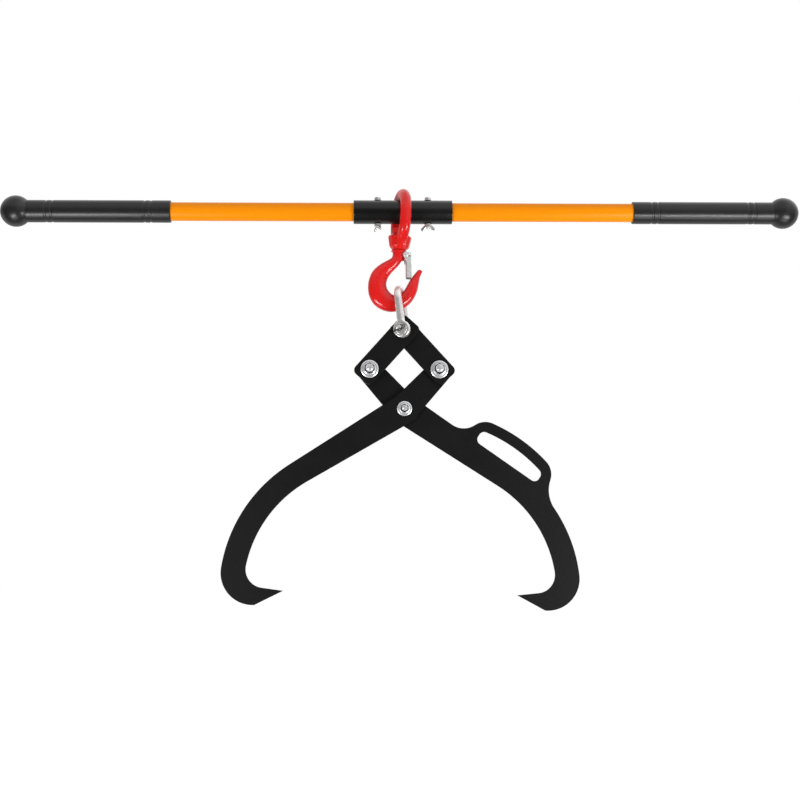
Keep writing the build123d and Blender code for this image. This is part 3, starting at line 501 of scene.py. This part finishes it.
def boltShell(tip, axis, reach, head, sizes):
    # Height runs from the threaded tip to the head's top; the thread is a triangle wave of height less turn
    radius, flats, pitch = sizes["thread"] / 2, sizes["flats"], sizes["pitch"]
    top, corner, shank = reach + head, flats * cornerShare, radius - 0.02
    threadEnd = min(reach * 0.6, 9 * pitch)
    rows = np.linspace(0.9, threadEnd, 90)
    headLine = softCorners([(reach, radius), (reach, flats * 0.475), (reach + 0.25, corner),
                            (top - 1.0, corner), (top, flats * 0.46), (top - 0.12, flats * 0.36),
                            (top - 0.12, 0.5)], 0.25, 4)
    profile = np.vstack([[(0.0, radius * 0.3), (0.0, radius * 0.72), (0.35, radius * 0.84)],
                         np.stack([rows, np.full(90, shank)], axis=1),
                         [(threadEnd + 0.3, shank), (reach, shank)], headLine])
    turnShare = np.arange(72)[None, :] / 72
    wave = np.abs((profile[:, :1] / pitch - turnShare) % 1 * 2 - 1)
    cut = (profile[:, :1] >= 0.3) & (profile[:, :1] <= threadEnd)
    depth = np.where(cut, wave * pitch * 0.5, 0)
    return roundGrid(turned(profile, tip, axis, alongX, 72, flats, -depth), capped=True)


def lockNutShell(seat, axis, height, sizes):
    # A chamfered hexagon with a rolled collar on top; the loop runs round its section and back down the bore
    flats, bore = sizes["flats"], sizes["thread"] / 2 + 0.05
    corner, shoulder, collar = flats * cornerShare, height * 0.66, flats * collarShare
    inside = collar - collarWall
    loop = softCorners([(0, bore), (0, flats * 0.47), (0.5, corner), (shoulder - 0.9, corner),
                        (shoulder, flats * 0.485), (shoulder + 0.25, collar), (height - 0.9, collar),
                        (height, collar - 0.4), (height - 0.35, inside), (height - 1.5, inside),
                        (height - 1.5, bore)], 0.45, closed=True)
    return roundGrid(turned(loop, seat, axis, alongX, 72, flats))


def steppedWasherShell(seat, axis, sizes):
    # A cone round the bore, a flat band at its foot and a bevelled rim, turned about the bolt
    sheet, rim, bore = sizes["sheet"], sizes["washer"] / 2, sizes["thread"] / 2 + washerPlay
    band, bevel = sheet * 0.62, 1.3
    loop = softCorners([(0, bore), (0, rim), (sheet * 0.25, rim), (band, rim - bevel), (band, rim * 0.72),
                        (sheet, rim * 0.56), (sheet, bore)], 0.3, closed=True)
    return roundGrid(turned(loop, seat, axis, alongX))


def wingNutShells(place, turn, sizes):
    # A cone with a bore, and two blades lofted from ovals along a rising line with round ends
    down = np.array([0, 0, -1.0])
    bore = sizes["bore"] / 2
    loop = softCorners([(0, bore), (0, sizes["base"] / 2), (sizes["height"], sizes["top"] / 2),
                        (sizes["height"], bore)], 0.5, closed=True)
    shells = [roundGrid(turned(loop, place, down, alongX, 48))]
    share = np.linspace(0, 1, 26)
    fade = roundedOff((share - sizes["roundFrom"]) / (1 - sizes["roundFrom"]), 0.985)
    reach = sizes["reach"][0] + sizes["reach"][1] * share**0.95
    rise = sizes["rise"][0] + sizes["rise"][1] * share**1.15
    wide = ((sizes["half"][0] + sizes["half"][1] * share) * fade)[:, None]
    thick = ((sizes["thick"] / 2 + sizes["root"] * (1 - share)) * blunted(fade))[:, None]
    angle = circleAngles(28)
    for opposite in (0, np.pi):
        heading = -math.radians(turn) + opposite
        out = np.array([math.cos(heading), math.sin(heading), 0])
        side = np.array([-math.sin(heading), math.cos(heading), 0])
        across = (down - out) / math.sqrt(2)
        centre = np.asarray(place) + reach[:, None] * out + rise[:, None] * down
        oval = (wide * np.cos(angle))[..., None] * across + (thick * np.sin(angle))[..., None] * side
        shells.append(roundGrid(centre[:, None] + oval, capped=True))
    return shells


for pivotName, sizes in pivotSizes.items():
    body = sizes["body"]
    (boltLow, boltHigh), (nutLow, nutHigh), (washerLow, washerHigh) = (
        nodeSpan(pivotName + "_pivot_" + kind) for kind in ("bolt", "nut", "washers"))
    boltX, boltZ = (boltLow + boltHigh)[[0, 2]] / 2
    addPiece(pivotName + "PivotBolt", body, [pivotName + "_pivot_bolt"], "brightZinc",
             [boltShell(np.array([boltX, boltLow[1], boltZ]), -front, washerHigh[1] - boltLow[1],
                        boltHigh[1] - washerHigh[1], sizes)])
    seat = np.array([boltX, nutHigh[1], boltZ])
    height = nutHigh[1] - nutLow[1]
    addPiece(pivotName + "LockNut", body, [pivotName + "_pivot_nut"], "nutZincPaintedDark",
             [lockNutShell(seat, front, height, sizes)])
    addPiece(pivotName + "NylonRing", body, [pivotName + "_nut_ring"], "nylonRing",
             [roundGrid(ringGrid(seat, front, alongX, height - 1.45, height - 0.3, sizes["thread"] / 2 - 0.25,
                                 sizes["flats"] * collarShare - collarWall, 0.3))])
    washerX, washerZ = (washerLow + washerHigh)[[0, 2]] / 2
    washers = [steppedWasherShell(np.array([washerX, y, washerZ]), axis, sizes)
               for y, axis in ((washerLow[1] + sizes["sheet"], front),
                               (washerHigh[1] - sizes["sheet"], -front))]
    addPiece(pivotName + "Washers", body, [pivotName + "_pivot_washers"], "brightZinc", washers)
for sideName in ("left", "right"):
    boltLow, boltHigh = nodeSpan(sideName + "_bar_bolt")
    washerLow, washerHigh = nodeSpan(sideName + "_bar_washer")
    wingTop = nodeSpan(sideName + "_wing_nut")[1][2]
    boltX = (boltLow[0] + boltHigh[0]) / 2
    addPiece(sideName + "BarBolt", "carry_bar", [sideName + "_bar_bolt"], "brightZinc",
             [boltShell(np.array([boltX, 0, boltLow[2]]), alongZ, washerHigh[2] - boltLow[2],
                        boltHigh[2] - washerHigh[2], barBoltSizes)])
    addPiece(sideName + "BarWasher", "carry_bar", [sideName + "_bar_washer"], "brightZinc",
             [roundGrid(ringGrid((boltX, 0, washerLow[2]), alongZ, alongX, 0.0, barBoltSizes["sheet"],
                                 barBoltSizes["thread"] / 2 + washerPlay, barBoltSizes["washer"] / 2, 0.3))])
    addPiece(sideName + "WingNut", sideName + "_wing_nut", [sideName + "_wing_nut"], "wingZinc",
             wingNutShells((boltX, 0, wingTop), wingSizes["turns"][sideName], wingSizes), 45)
print("fasteners built")

# Swivel eye and hook: both lean with the hook's own frame, the eye turns in it
hookFrameSizes = {"lean": 4.8, "offset": -1.05, "eyeTurn": 11.5, "hubFoot": -52.8}
eyeSizes = {"rod": 7.5, "mean": 27.0, "archZ": -3.1, "footZ": -13.0, "floorZ": -32.5, "seat": 12.5,
            "seatTop": -3.3, "foot": 13.5, "shoulderZ": (-46.0, -24.0), "ringLean": -1.6, "lump": 0.05,
            "hub": ((-32.5, 6.7), (-32.5, 13.1), (-34.7, 15.9), (-36.1, 15.9), (-48.6, 13.3), (-52.8, 9.0),
                    (-52.8, 6.7)), "hubEdge": 1.1,
            "facets": 10, "facetStart": 262.0, "facetSoft": 0.018, "facetTop": -33.0, "facetFrom": 8.6,
            "ribHalf": 7.3, "ribDepth": 3.2, "ribEnds": (-30.0, -49.8), "ribFront": (19.8, 14.2),
            "ribRound": 3.5}
hookSizes = {
    # inner x, inner z, outer x, outer z below the hub's foot, thickness, from the neck to the point
    "sections": ((8.2, -2.8, -8.2, -2.8, 16.4), (6.6, -9.5, -8.6, -9.5, 15.0),
                 (2.6, -18.2, -14.4, -14.8, 15.5), (-9.7, -34.6, -32.6, -30.6, 16.5),
                 (-13.2, -45.4, -37.4, -45.5, 17.5), (-8.3, -57.4, -30.2, -73.4, 18.0),
                 (0.8, -61.4, -3.4, -84.4, 18.0), (10.3, -55.2, 21.8, -69.4, 17.0),
                 (16.4, -42.6, 29.8, -47.6, 14.0), (22.4, -32.2, 31.0, -34.8, 9.5),
                 (28.8, -23.1, 34.4, -25.3, 6.4)),
    "tipLength": 2.7, "fullness": 2.2, "lump": 0.07, "quietEnds": (12, 10),
    "collar": ((-57.0, 6.2), (-55.9, 9.0), (-55.6, 10.2), (-53.2, 10.2), (-53.2, 6.5), (-21.3, 6.5),
               (-21.3, 0.5)), "collarEdge": 0.7,
    "pin": (9.8, -59.2), "pocket": 4.4, "lug": 3.4, "lugHalf": 2.2, "lugEdge": 0.6,
    "lugFeet": ((1.0, -59.2), (5.4, -63.4))}


def inHookFrame(points, turn=0.0):
    # Turned about the swivel's axis, then leaned about Y and set off along the bar
    x, y = rotated(points[..., 0], points[..., 1], turn)
    z, x = rotated(points[..., 2], x, hookFrameSizes["lean"])
    return xyz(hookFrameSizes["offset"] + x, y, z)


def forgeLumps(along, angle, size):
    # Two crossed waves along and round the forging
    return size * (np.sin(0.55 * along + 1.3) * np.cos(3 * angle + 0.21 * along)
                   + 0.7 * np.sin(0.93 * along) * np.cos(5 * angle - 0.4 * along + 0.6))


def ribGrid(side, sizes):
    # The ring's leg run down the hub: full ovals carried down a straight lean, rounded off at the lower end
    z = np.linspace(*sizes["ribEnds"], 26)
    share = (z - z[0]) / (z[-1] - z[0])
    outer = sizes["ribFront"][0] + (sizes["ribFront"][1] - sizes["ribFront"][0]) * share
    fade = roundedOff((sizes["ribRound"] - z + z[-1]) / sizes["ribRound"], 0.99)
    angle = circleAngles(36)[None, :]
    depth = sizes["ribDepth"]
    return xyz(sizes["ribHalf"] * blunted(fade)[:, None] * bulged(np.cos(angle), 0.75),
               side * ((outer - depth)[:, None] + depth * fade[:, None] * bulged(np.sin(angle), 0.9)),
               z[:, None])


def ringOfEye(sizes):
    # A round rod carried along an oval of two arcs and two legs, leaned, pushed out of the nut's seat and
    # drawn in towards its foot by a smooth step of height
    rod, mean, floor = sizes["rod"], sizes["mean"], sizes["floorZ"]
    turn = np.linspace(0, np.pi, 61)
    arch = np.stack([np.cos(turn), np.sin(turn)], axis=1)
    legs = np.linspace(sizes["archZ"], sizes["footZ"], 9)[1:-1]
    normals = np.concatenate([arch, np.tile([[-1.0, 0]], (7, 1)), -arch, np.tile([[1.0, 0]], (7, 1))])
    heights = np.concatenate([np.full(61, sizes["archZ"]), legs, np.full(61, sizes["footZ"]), legs[::-1]])
    middle = normals * mean + np.stack([np.zeros_like(heights), heights], axis=1)
    angle = circleAngles(44)[None, :]
    along = np.arange(len(middle))[:, None] * 1.4
    radius = rod + forgeLumps(along, angle, sizes["lump"]) * np.sin(np.pi * along / along.max())
    x, y, z = (radius * np.sin(angle), middle[:, :1] + radius * np.cos(angle) * normals[:, :1],
               middle[:, 1:] + radius * np.cos(angle) * normals[:, 1:])
    rise, x = rotated(z - floor, x, sizes["ringLean"])
    z = rise + floor
    reach = np.hypot(x, y) + 1e-6
    inSeat = (z < sizes["seatTop"]) & (z > floor) & (reach < sizes["seat"])
    push = np.where(inSeat, sizes["seat"] / reach, 1.0)
    low, high = sizes["shoulderZ"]
    fall = np.clip((z - low) / (high - low), 0, 1)
    limit = sizes["foot"] + (mean + rod - sizes["foot"]) * fall**2 * (3 - 2 * fall)
    push = np.where(reach * push > limit, limit / reach, push)
    return xyz(x * push, y * push, z)


def eyeShells(sizes):
    # The ring, a hub turned about the swivel's axis with flats trimmed off its side, and a rib at each leg
    loop = softCorners(sizes["hub"], sizes["hubEdge"], 6, closed=True)
    around = circleAngles(120)[None, :] - math.radians(sizes["facetStart"])
    half = np.pi / sizes["facets"]
    facet = (math.cos(half) + sizes["facetSoft"]) / np.cos(around % (2 * half) - half)
    outer = (loop[:, 1:] > sizes["facetFrom"]) & (loop[:, :1] < sizes["facetTop"])
    trim = np.where(outer, np.minimum(facet, 1.0) - 1.0, 0.0) * loop[:, 1:]
    hub = turned(loop, origin, alongZ, alongX, 120, 0.0, trim)
    eyeTurn = hookFrameSizes["eyeTurn"]
    return [roundGrid(inHookFrame(ringOfEye(sizes), eyeTurn)), roundGrid(inHookFrame(hub)),
            *(roundGrid(inHookFrame(ribGrid(side, sizes), eyeTurn), capped=True) for side in (-1, 1))]


def hookShells(sizes):
    # Ovals between an inner and an outer point carried along a cubic, rounded off at the point and pushed
    # out of the spring's pocket; a turned collar and shank; two flat lugs at the rivet
    sections = np.array(sizes["sections"])
    sections[:, [1, 3]] += hookFrameSizes["hubFoot"]
    length = smoothThrough(sections, np.array([0.0]))[1]
    tip = sizes["tipLength"] / length
    places = np.concatenate([np.linspace(0, 1 - tip, 170),
                             1 - tip + tip * np.sin(np.linspace(0, 1.5, 12)[1:])])
    values = smoothThrough(sections, places)[0]
    shrink = roundedOff((places - 1 + tip) / tip)[:, None]
    angle = circleAngles(64)[None, :]
    power = 2 / sizes["fullness"]
    middle = (values[:, 0:2] + values[:, 2:4]) / 2
    across = (values[:, 2:4] - values[:, 0:2]) / 2
    wide = np.linalg.norm(across, axis=1, keepdims=True)
    along = places[:, None] * length
    neckQuiet, tipQuiet = sizes["quietEnds"]
    quiet = np.clip(along / neckQuiet, 0, 1) * np.clip((length - along) / tipQuiet, 0, 1)
    lift = 1 + quiet * forgeLumps(along, angle, sizes["lump"]) / wide
    flat = middle[:, None] + across[:, None] * (bulged(np.cos(angle), power) * lift * shrink)[..., None]
    thick = values[:, 4:5] / 2 * bulged(np.sin(angle), power) * lift * shrink
    pin = np.array(sizes["pin"])
    away = flat - pin
    reach = np.linalg.norm(away, axis=-1)
    inPocket = (thick > sizes["lugHalf"]) & (reach < sizes["pocket"])
    pushed = pin + away / (reach[..., None] + 1e-6) * sizes["pocket"]
    flat = np.where(inPocket[..., None], pushed, flat)
    parts = [xyz(flat[..., 0], thick, flat[..., 1]),
             turned(softCorners(sizes["collar"], sizes["collarEdge"]), origin, alongZ, alongX, 64),
             *(capsuleSlab(foot, sizes["pin"], sizes["lug"], sizes["lugHalf"], sizes["lugEdge"])
               for foot in sizes["lugFeet"])]
    return [roundGrid(inHookFrame(part), capped=True) for part in parts]


addPiece("swivelEye", "swivel_eye", ["swivel_eye"], "forgeRed", eyeShells(eyeSizes), 40)
addPiece("forgedHook", "hook", ["hook"], "forgeRed", hookShells(hookSizes), 48)

# Swivel nut, washer and cross pin above the hub, and the latch's rivet and spring
swivelWasherSizes = {"bottom": -32.3, "top": -30.8, "inner": 7.1, "outer": 11.0, "edge": 0.4, "columns": 64}
swivelNutSizes = {"foot": -30.8, "height": 8.0, "flats": 19.0, "bore": 6.55, "chamfer": 0.8, "edge": 0.4,
                  "pin": 1.5, "pinHalf": 9.0}
rivetSizes = {"place": (9.8, -59.2), "radius": 1.75, "half": 8.8, "head": 3.2, "dome": 1.2}
springSizes = {"place": (9.8, -59.2), "wire": 0.5, "radius": 3.5, "side": 3.7, "pitch": 1.5, "wholeTurns": 1,
               "lean": 17.0, "latchLeg": 11.0, "neckLeg": 1.5, "hookSide": 5.9, "latchSide": 4.2}


def swivelNutShell(sizes):
    # A chamfered section turned about the swivel's axis and trimmed to a hexagon
    foot, flats, bore, chamfer = (sizes[key] for key in ("foot", "flats", "bore", "chamfer"))
    top, corner, face = foot + sizes["height"], flats * cornerShare, flats * 0.47
    loop = softCorners([(foot, bore), (foot, face), (foot + chamfer, corner), (top - chamfer, corner),
                        (top, face), (top, bore)], sizes["edge"], closed=True)
    return roundGrid(inHookFrame(turned(loop, origin, alongZ, alongX, 72, flats)))


def crossPinShell(sizes):
    # A rod with soft ends, turned about a line across the middle of the nut
    half, radius = sizes["pinHalf"], sizes["pin"]
    z = sizes["foot"] + sizes["height"] / 2
    profile = softCorners([(-half, 0.3), (-half, radius), (half, radius), (half, 0.3)], sizes["edge"])
    return roundGrid(inHookFrame(turned(profile, (0, 0, z), alongX, alongY, 32)), capped=True)


def rivetShell(sizes):
    # A plain shank with a dome at each end
    x, z = sizes["place"]
    half, radius = sizes["half"], sizes["radius"]
    turn = np.linspace(np.pi / 2, 0.06, 9)
    dome = np.stack([half + sizes["dome"] * np.cos(turn), sizes["head"] * np.sin(turn)], axis=1)
    profile = np.vstack([dome[::-1] * (-1, 1), [(-half, radius), (half, radius)], dome])
    return roundGrid(inHookFrame(turned(profile, (x, 0, z), alongY, alongX, 40)), capped=True)


def springShell(sizes):
    # A helix about the rivet with a straight leg off each end; the wire's circle stands square to the path
    radius, x, z = sizes["radius"], *sizes["place"]
    first = math.pi + math.radians(sizes["lean"])
    whole = first + math.pi / 2 + 2 * math.pi * sizes["wholeTurns"]
    share = np.linspace(0, 1, 150)[:, None]
    angle = first - share * whole
    y = sizes["side"] + sizes["pitch"] * share * whole / (2 * math.pi)
    coil = np.concatenate([x + radius * np.cos(angle), y, z + radius * np.sin(angle)], axis=1)
    climb = np.full_like(angle, sizes["pitch"] / (2 * math.pi * radius))
    headings = np.concatenate([np.sin(angle), climb, -np.cos(angle)], axis=1)
    headings /= np.linalg.norm(headings, axis=1, keepdims=True)
    latchLeg = coil[:1] - headings[:1] * np.linspace(sizes["latchLeg"], 0.4, 12)[:, None]
    neckLeg = coil[-1:] + headings[-1:] * np.linspace(0.3, sizes["neckLeg"], 4)[:, None]
    path = np.vstack([latchLeg, coil, neckLeg])
    tangents = np.gradient(path, axis=0)
    tangents /= np.linalg.norm(tangents, axis=1, keepdims=True)
    normal = np.cross(tangents, (0, 1.0, 0))
    normal /= np.linalg.norm(normal, axis=1, keepdims=True)
    other = np.cross(tangents, normal)
    turn = circleAngles(14)[None, :, None]
    wire = path[:, None] + sizes["wire"] * (np.cos(turn) * normal[:, None] + np.sin(turn) * other[:, None])
    return roundGrid(inHookFrame(wire), capped=True)


addPiece("swivelWasher", "hook", ["swivel_washer"], "forgeRed",
         [roundGrid(inHookFrame(ringGrid(origin, alongZ, alongX, **swivelWasherSizes)))])
addPiece("swivelNut", "hook", ["swivel_nut"], "forgeRed", [swivelNutShell(swivelNutSizes)])
addPiece("swivelNutPin", "hook", ["swivel_nut_pin"], "forgeRed", [crossPinShell(swivelNutSizes)])
addPiece("latchRivet", "hook", ["latch_pin"], "latchZinc", [rivetShell(rivetSizes)])
# The spring is left on no body and its transform baked; the points on the coil's axis at its hook side and
# latch side are worked out
latchSpring = addPiece("latchSpring", None, ["latch_spring"], "springSteel",
                       [springShell(springSizes)], 60)
coilX, coilZ = springSizes["place"]
coilSides = [inHookFrame(np.array([coilX, springSizes[side], coilZ])) * mm
             for side in ("hookSide", "latchSide")]
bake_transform(latchSpring)
print("hook built")

# Shackle: a bow that widens into two ears, and a screw pin with an eyed tab
shackleSizes = {"place": (1.277, 0.0, -161.72), "lean": 6.8, "turn": 13.5, "rod": 5.0, "legY": 16.0,
                "leg": 41.2, "ear": 11.3, "earBlend": 2.2, "blendRise": 6.0, "stem": (16.0, 22.0),
                "square": 3.2, "squareEnds": (8.0, 13.0), "footThin": 0.16, "footFrom": 0.8,
                "pin": 5.0, "pinEnd": 21.6, "collar": 7.5, "collarY": -21.15, "collarThick": 2.5,
                "pinEdge": 0.6, "tabReach": 8.5, "tab": 9.5, "tabNeck": 6.0, "tabRoot": 1.2, "tabHole": 3.5,
                "tabThick": 3.4, "tabCrown": 1.5, "tabTurn": 25.0}


def inShackleFrame(points):
    # Turned about its own upright, leaned about Y and set on the tongs' top pivot
    y, x = rotated(points[..., 1], points[..., 0], shackleSizes["turn"])
    x, z = rotated(x, points[..., 2], shackleSizes["lean"])
    return xyz(x, y, z) + np.array(shackleSizes["place"])


def bowShell(sizes):
    # Rounded oblongs along a U: the half width is the rod's, and near an ear a soft maximum of that and the
    # ear's circle; the section squares up towards the ears, and an ear's foot thins a little
    legY, ear, rod, leg = (sizes[key] for key in ("legY", "ear", "rod", "leg"))
    foot = -ear * np.cos(np.linspace(0.08, np.pi / 2, 22))
    legZ = np.concatenate([foot, np.linspace(0.3, 20, 40), np.linspace(21, leg, 12)])
    turn = np.linspace(0, np.pi, 50)[1:-1]
    level = np.ones(len(legZ))
    headY = np.concatenate([-level, -np.cos(turn), level])
    headZ = np.concatenate([0 * level, np.sin(turn), 0 * level])
    y = legY * headY
    z = np.concatenate([legZ, leg + legY * np.sin(turn), legZ[::-1]])
    disc = np.sqrt(np.clip(ear**2 - z**2, 0, None))
    soft = sizes["earBlend"] ** 2 * np.clip(z / sizes["blendRise"], 0, 1)
    wide = np.where(z > 0, (disc + rod + np.sqrt((disc - rod) ** 2 + soft)) / 2, disc)
    stemLow, stemHigh = sizes["stem"]
    toRod = np.clip((stemHigh - z) / (stemHigh - stemLow), 0, 1)
    wide = np.where(z > stemLow, rod + (wide - rod) * toRod, wide)
    squareLow, squareHigh = sizes["squareEnds"]
    fullness = 2 + sizes["square"] * np.clip((squareHigh - np.abs(z)) / (squareHigh - squareLow), 0, 1)
    power = (2 / fullness)[:, None]
    thin = np.clip((np.abs(z) / ear - sizes["footFrom"]) / (1 - sizes["footFrom"]), 0, 1)
    thick = rod * np.where(z < 0, 1 - sizes["footThin"] * thin**2, 1.0)
    angle = circleAngles(48)[None, :]
    out = thick[:, None] * bulged(np.sin(angle), power)
    points = xyz(wide[:, None] * bulged(np.cos(angle), power), y[:, None] + out * headY[:, None],
                 z[:, None] + out * headZ[:, None])
    return roundGrid(inShackleFrame(points), capped=True)


def pinShells(sizes):
    # A turned pin and collar, and a tab whose section loops round between its eye and its outline
    collar, collarY, pin, pinEnd, tab = (sizes[key] for key in ("collar", "collarY", "pin", "pinEnd", "tab"))
    tabY = collarY - sizes["collarThick"]
    profile = softCorners([(tabY, 0.5), (tabY, collar), (collarY, collar), (collarY, pin), (pinEnd, pin),
                           (pinEnd, 0.5)], sizes["pinEdge"])
    rod = turned(profile, origin, alongY, alongX, 64)
    angle = circleAngles(72)[None, :]
    fromNeck = np.abs((angle - np.pi / 2 + np.pi) % (2 * np.pi) - np.pi)
    neck = np.minimum(sizes["tabNeck"] / (np.abs(np.sin(fromNeck)) + 1e-6),
                      (sizes["tabReach"] + sizes["tabRoot"]) / np.maximum(np.cos(fromNeck), 1e-6))
    outline = np.where(fromNeck < np.pi / 2, np.maximum(tab, neck), tab)
    turn = circleAngles(20)[:, None]
    reach = sizes["tabHole"] + (outline - sizes["tabHole"]) * (1 - np.cos(turn)) / 2
    x, y = reach * np.cos(angle), reach * np.sin(angle) + tabY - sizes["tabReach"]
    z = sizes["tabThick"] / 2 * bulged(np.sin(turn), 0.8) * (sizes["tabCrown"] - (x / tab) ** 2)
    x, z = rotated(x, z, sizes["tabTurn"])
    return [roundGrid(inShackleFrame(rod), capped=True), roundGrid(inShackleFrame(xyz(x, y, z)))]


addPiece("shackleBow", "shackle", ["shackle_bow"], "shackleZinc", [bowShell(shackleSizes)], 50)
addPiece("shacklePin", "shackle_pin", ["shackle_pin"], "pinZinc", pinShells(shackleSizes), 40)
print("shackle built")

# Floor, light and camera, in metres
stageSizes = {"floorDrop": 0.12, "floorSpan": 14.0, "floorTone": 0.70, "floorToneMirrored": 0.04,
              "floorGlow": 0.58, "floorMirror": (0.02, 0.8), "floorFade": 0.4, "worldDiffuse": 0.62,
              "frontMirror": 0.05, "backMirror": 0.45, "topMirror": 0.7, "rightMirror": 0.55}
lampSizes = {
    "lowLeft": {"place": (-0.63, -0.54, -0.59), "target": (-0.42, 0, 0), "size": (0.40, 0.18), "power": 3.7},
    "lowRight": {"place": (0.715, -0.65, -0.575), "target": (0.505, 0, 0), "size": (0.57, 0.20),
                 "power": 6.1},
    "underLeft": {"place": (-0.50, -0.27, -0.62), "target": (-0.42, 0, 0), "size": (0.46, 0.26),
                  "power": 0.8},
    "underRight": {"place": (0.50, -0.27, -0.62), "target": (0.42, 0, 0), "size": (0.46, 0.26), "power": 1.1},
    "softKey": {"place": (-0.5, -1.9, 1.0), "target": (0, 0, -0.25), "size": (1.3, 0.8), "power": 5.5,
                "mirrored": False},
    "overhead": {"place": (0, -0.2, 1.5), "target": (0, 0, 0), "size": (1.6, 0.8), "power": 5.5,
                 "mirrored": False},
}
cameraSizes = {"target": (-0.005, 0, -0.2554), "away": 2.003, "turn": -2.0, "rise": -6.0, "roll": -0.28,
               "sensor": 36, "lens": 67.5, "clip": 0.05}


def startTree(holder):
    holder.use_nodes = True
    holder.node_tree.nodes.clear()
    return holder.node_tree, addNode(holder.node_tree, "ShaderNodeLightPath").outputs


def makeFloor():
    # Near white to the camera; in reflections pale behind the object and dark in front of it
    z = cadBox[0].z - stageSizes["floorDrop"]
    half = stageSizes["floorSpan"] / 2
    corners = [(-half, -half, z), (half, -half, z), (half, half, z), (-half, half, z)]
    mesh = bpy.data.meshes.new("studioFloor")
    mesh.from_pydata(corners, [], [(0, 1, 2, 3)])
    floor = addObject("studioFloor", mesh)
    material = bpy.data.materials.new("paleFloor")
    tree, path = startTree(material)
    mirrored = mathNode(tree, "ADD", path["Is Glossy Ray"], path["Is Transmission Ray"])
    place = addNode(tree, "ShaderNodeNewGeometry").outputs["Position"]
    behind = addNode(tree, "ShaderNodeSeparateXYZ", {"Vector": place}).outputs["Y"]
    pale = spread(tree, behind, *stageSizes["floorMirror"], 0.0, stageSizes["floorFade"])
    seen = mathNode(tree, "MULTIPLY", path["Is Camera Ray"], stageSizes["floorGlow"])
    glowing = mathNode(tree, "ADD", seen, mathNode(tree, "MULTIPLY", mirrored, pale))
    tone = spread(tree, path["Is Glossy Ray"], stageSizes["floorTone"], stageSizes["floorToneMirrored"])
    diffuse = addNode(tree, "ShaderNodeBsdfDiffuse", {"Color": tone})
    glow = addNode(tree, "ShaderNodeEmission", {"Color": (1, 1, 1, 1), "Strength": glowing})
    both = addNode(tree, "ShaderNodeAddShader", {0: diffuse.outputs[0], 1: glow.outputs[0]})
    addNode(tree, "ShaderNodeOutputMaterial", {"Surface": both.outputs[0]})
    mesh.materials.append(material)


def makeWorld():
    # White where the camera sees it; in reflections dim in front, paler overhead, behind and on the right
    world = bpy.data.worlds.new("studioWorld")
    scene.world = world
    tree, path = startTree(world)
    place = addNode(tree, "ShaderNodeTexCoord").outputs["Generated"]
    heading = addNode(tree, "ShaderNodeSeparateXYZ", {"Vector": place}).outputs
    behind = spread(tree, heading["Y"], 0.0, stageSizes["backMirror"], -0.1, 0.6)
    above = spread(tree, heading["Z"], 0.0, stageSizes["topMirror"], 0.2, 0.65)
    right = spread(tree, heading["X"], stageSizes["frontMirror"], stageSizes["rightMirror"], 0.05, 0.45)
    mirrored = mathNode(tree, "ADD", mathNode(tree, "ADD", behind, above), right)
    lit = addNode(tree, "ShaderNodeMix", {
        "Factor": path["Is Glossy Ray"], "A": stageSizes["worldDiffuse"], "B": mirrored}, data_type="FLOAT")
    seen = mathNode(tree, "ADD", path["Is Camera Ray"], path["Is Transmission Ray"])
    strength = addNode(tree, "ShaderNodeMix", {"Factor": seen, "A": lit.outputs[0], "B": 1.0},
                       data_type="FLOAT")
    light = addNode(tree, "ShaderNodeBackground", {"Color": (1, 1, 1, 1), "Strength": strength.outputs[0]})
    addNode(tree, "ShaderNodeOutputWorld", {"Surface": light.outputs[0]})


def addLamp(name, place, target, size, power, mirrored=True):
    # A rectangle of light that faces its target
    lamp = bpy.data.lights.new(name, "AREA")
    lamp.shape = "RECTANGLE"
    lamp.size, lamp.size_y = size
    lamp.energy = power
    holder = addObject(name, lamp)
    holder.location = place
    holder.rotation_euler = (Vector(target) - Vector(place)).to_track_quat("-Z", "Y").to_euler()
    holder.visible_camera = False
    holder.visible_glossy = mirrored


def makeCamera(sizes):
    # Set back from the target along a line at the two angles, and rolled about that line
    turn, rise, roll = (math.radians(sizes[key]) for key in ("turn", "rise", "roll"))
    back = Vector((math.sin(turn) * math.cos(rise), -math.cos(turn) * math.cos(rise), math.sin(rise)))
    camera = bpy.data.cameras.new("photoCamera")
    camera.sensor_width = sizes["sensor"]
    camera.lens = sizes["lens"]
    camera.clip_start = sizes["clip"]
    holder = addObject("photoCamera", camera)
    facing = (-back).to_track_quat("-Z", "Y").to_matrix().to_4x4() @ Matrix.Rotation(roll, 4, "Z")
    holder.matrix_world = Matrix.Translation(Vector(sizes["target"]) + back * sizes["away"]) @ facing
    scene.camera = holder


makeFloor()
makeWorld()
for lampName, lampValues in lampSizes.items():
    addLamp(lampName, **lampValues)
makeCamera(cameraSizes)
bpy.context.scene.view_settings.view_transform = "Standard"
print("stage, light and camera set")
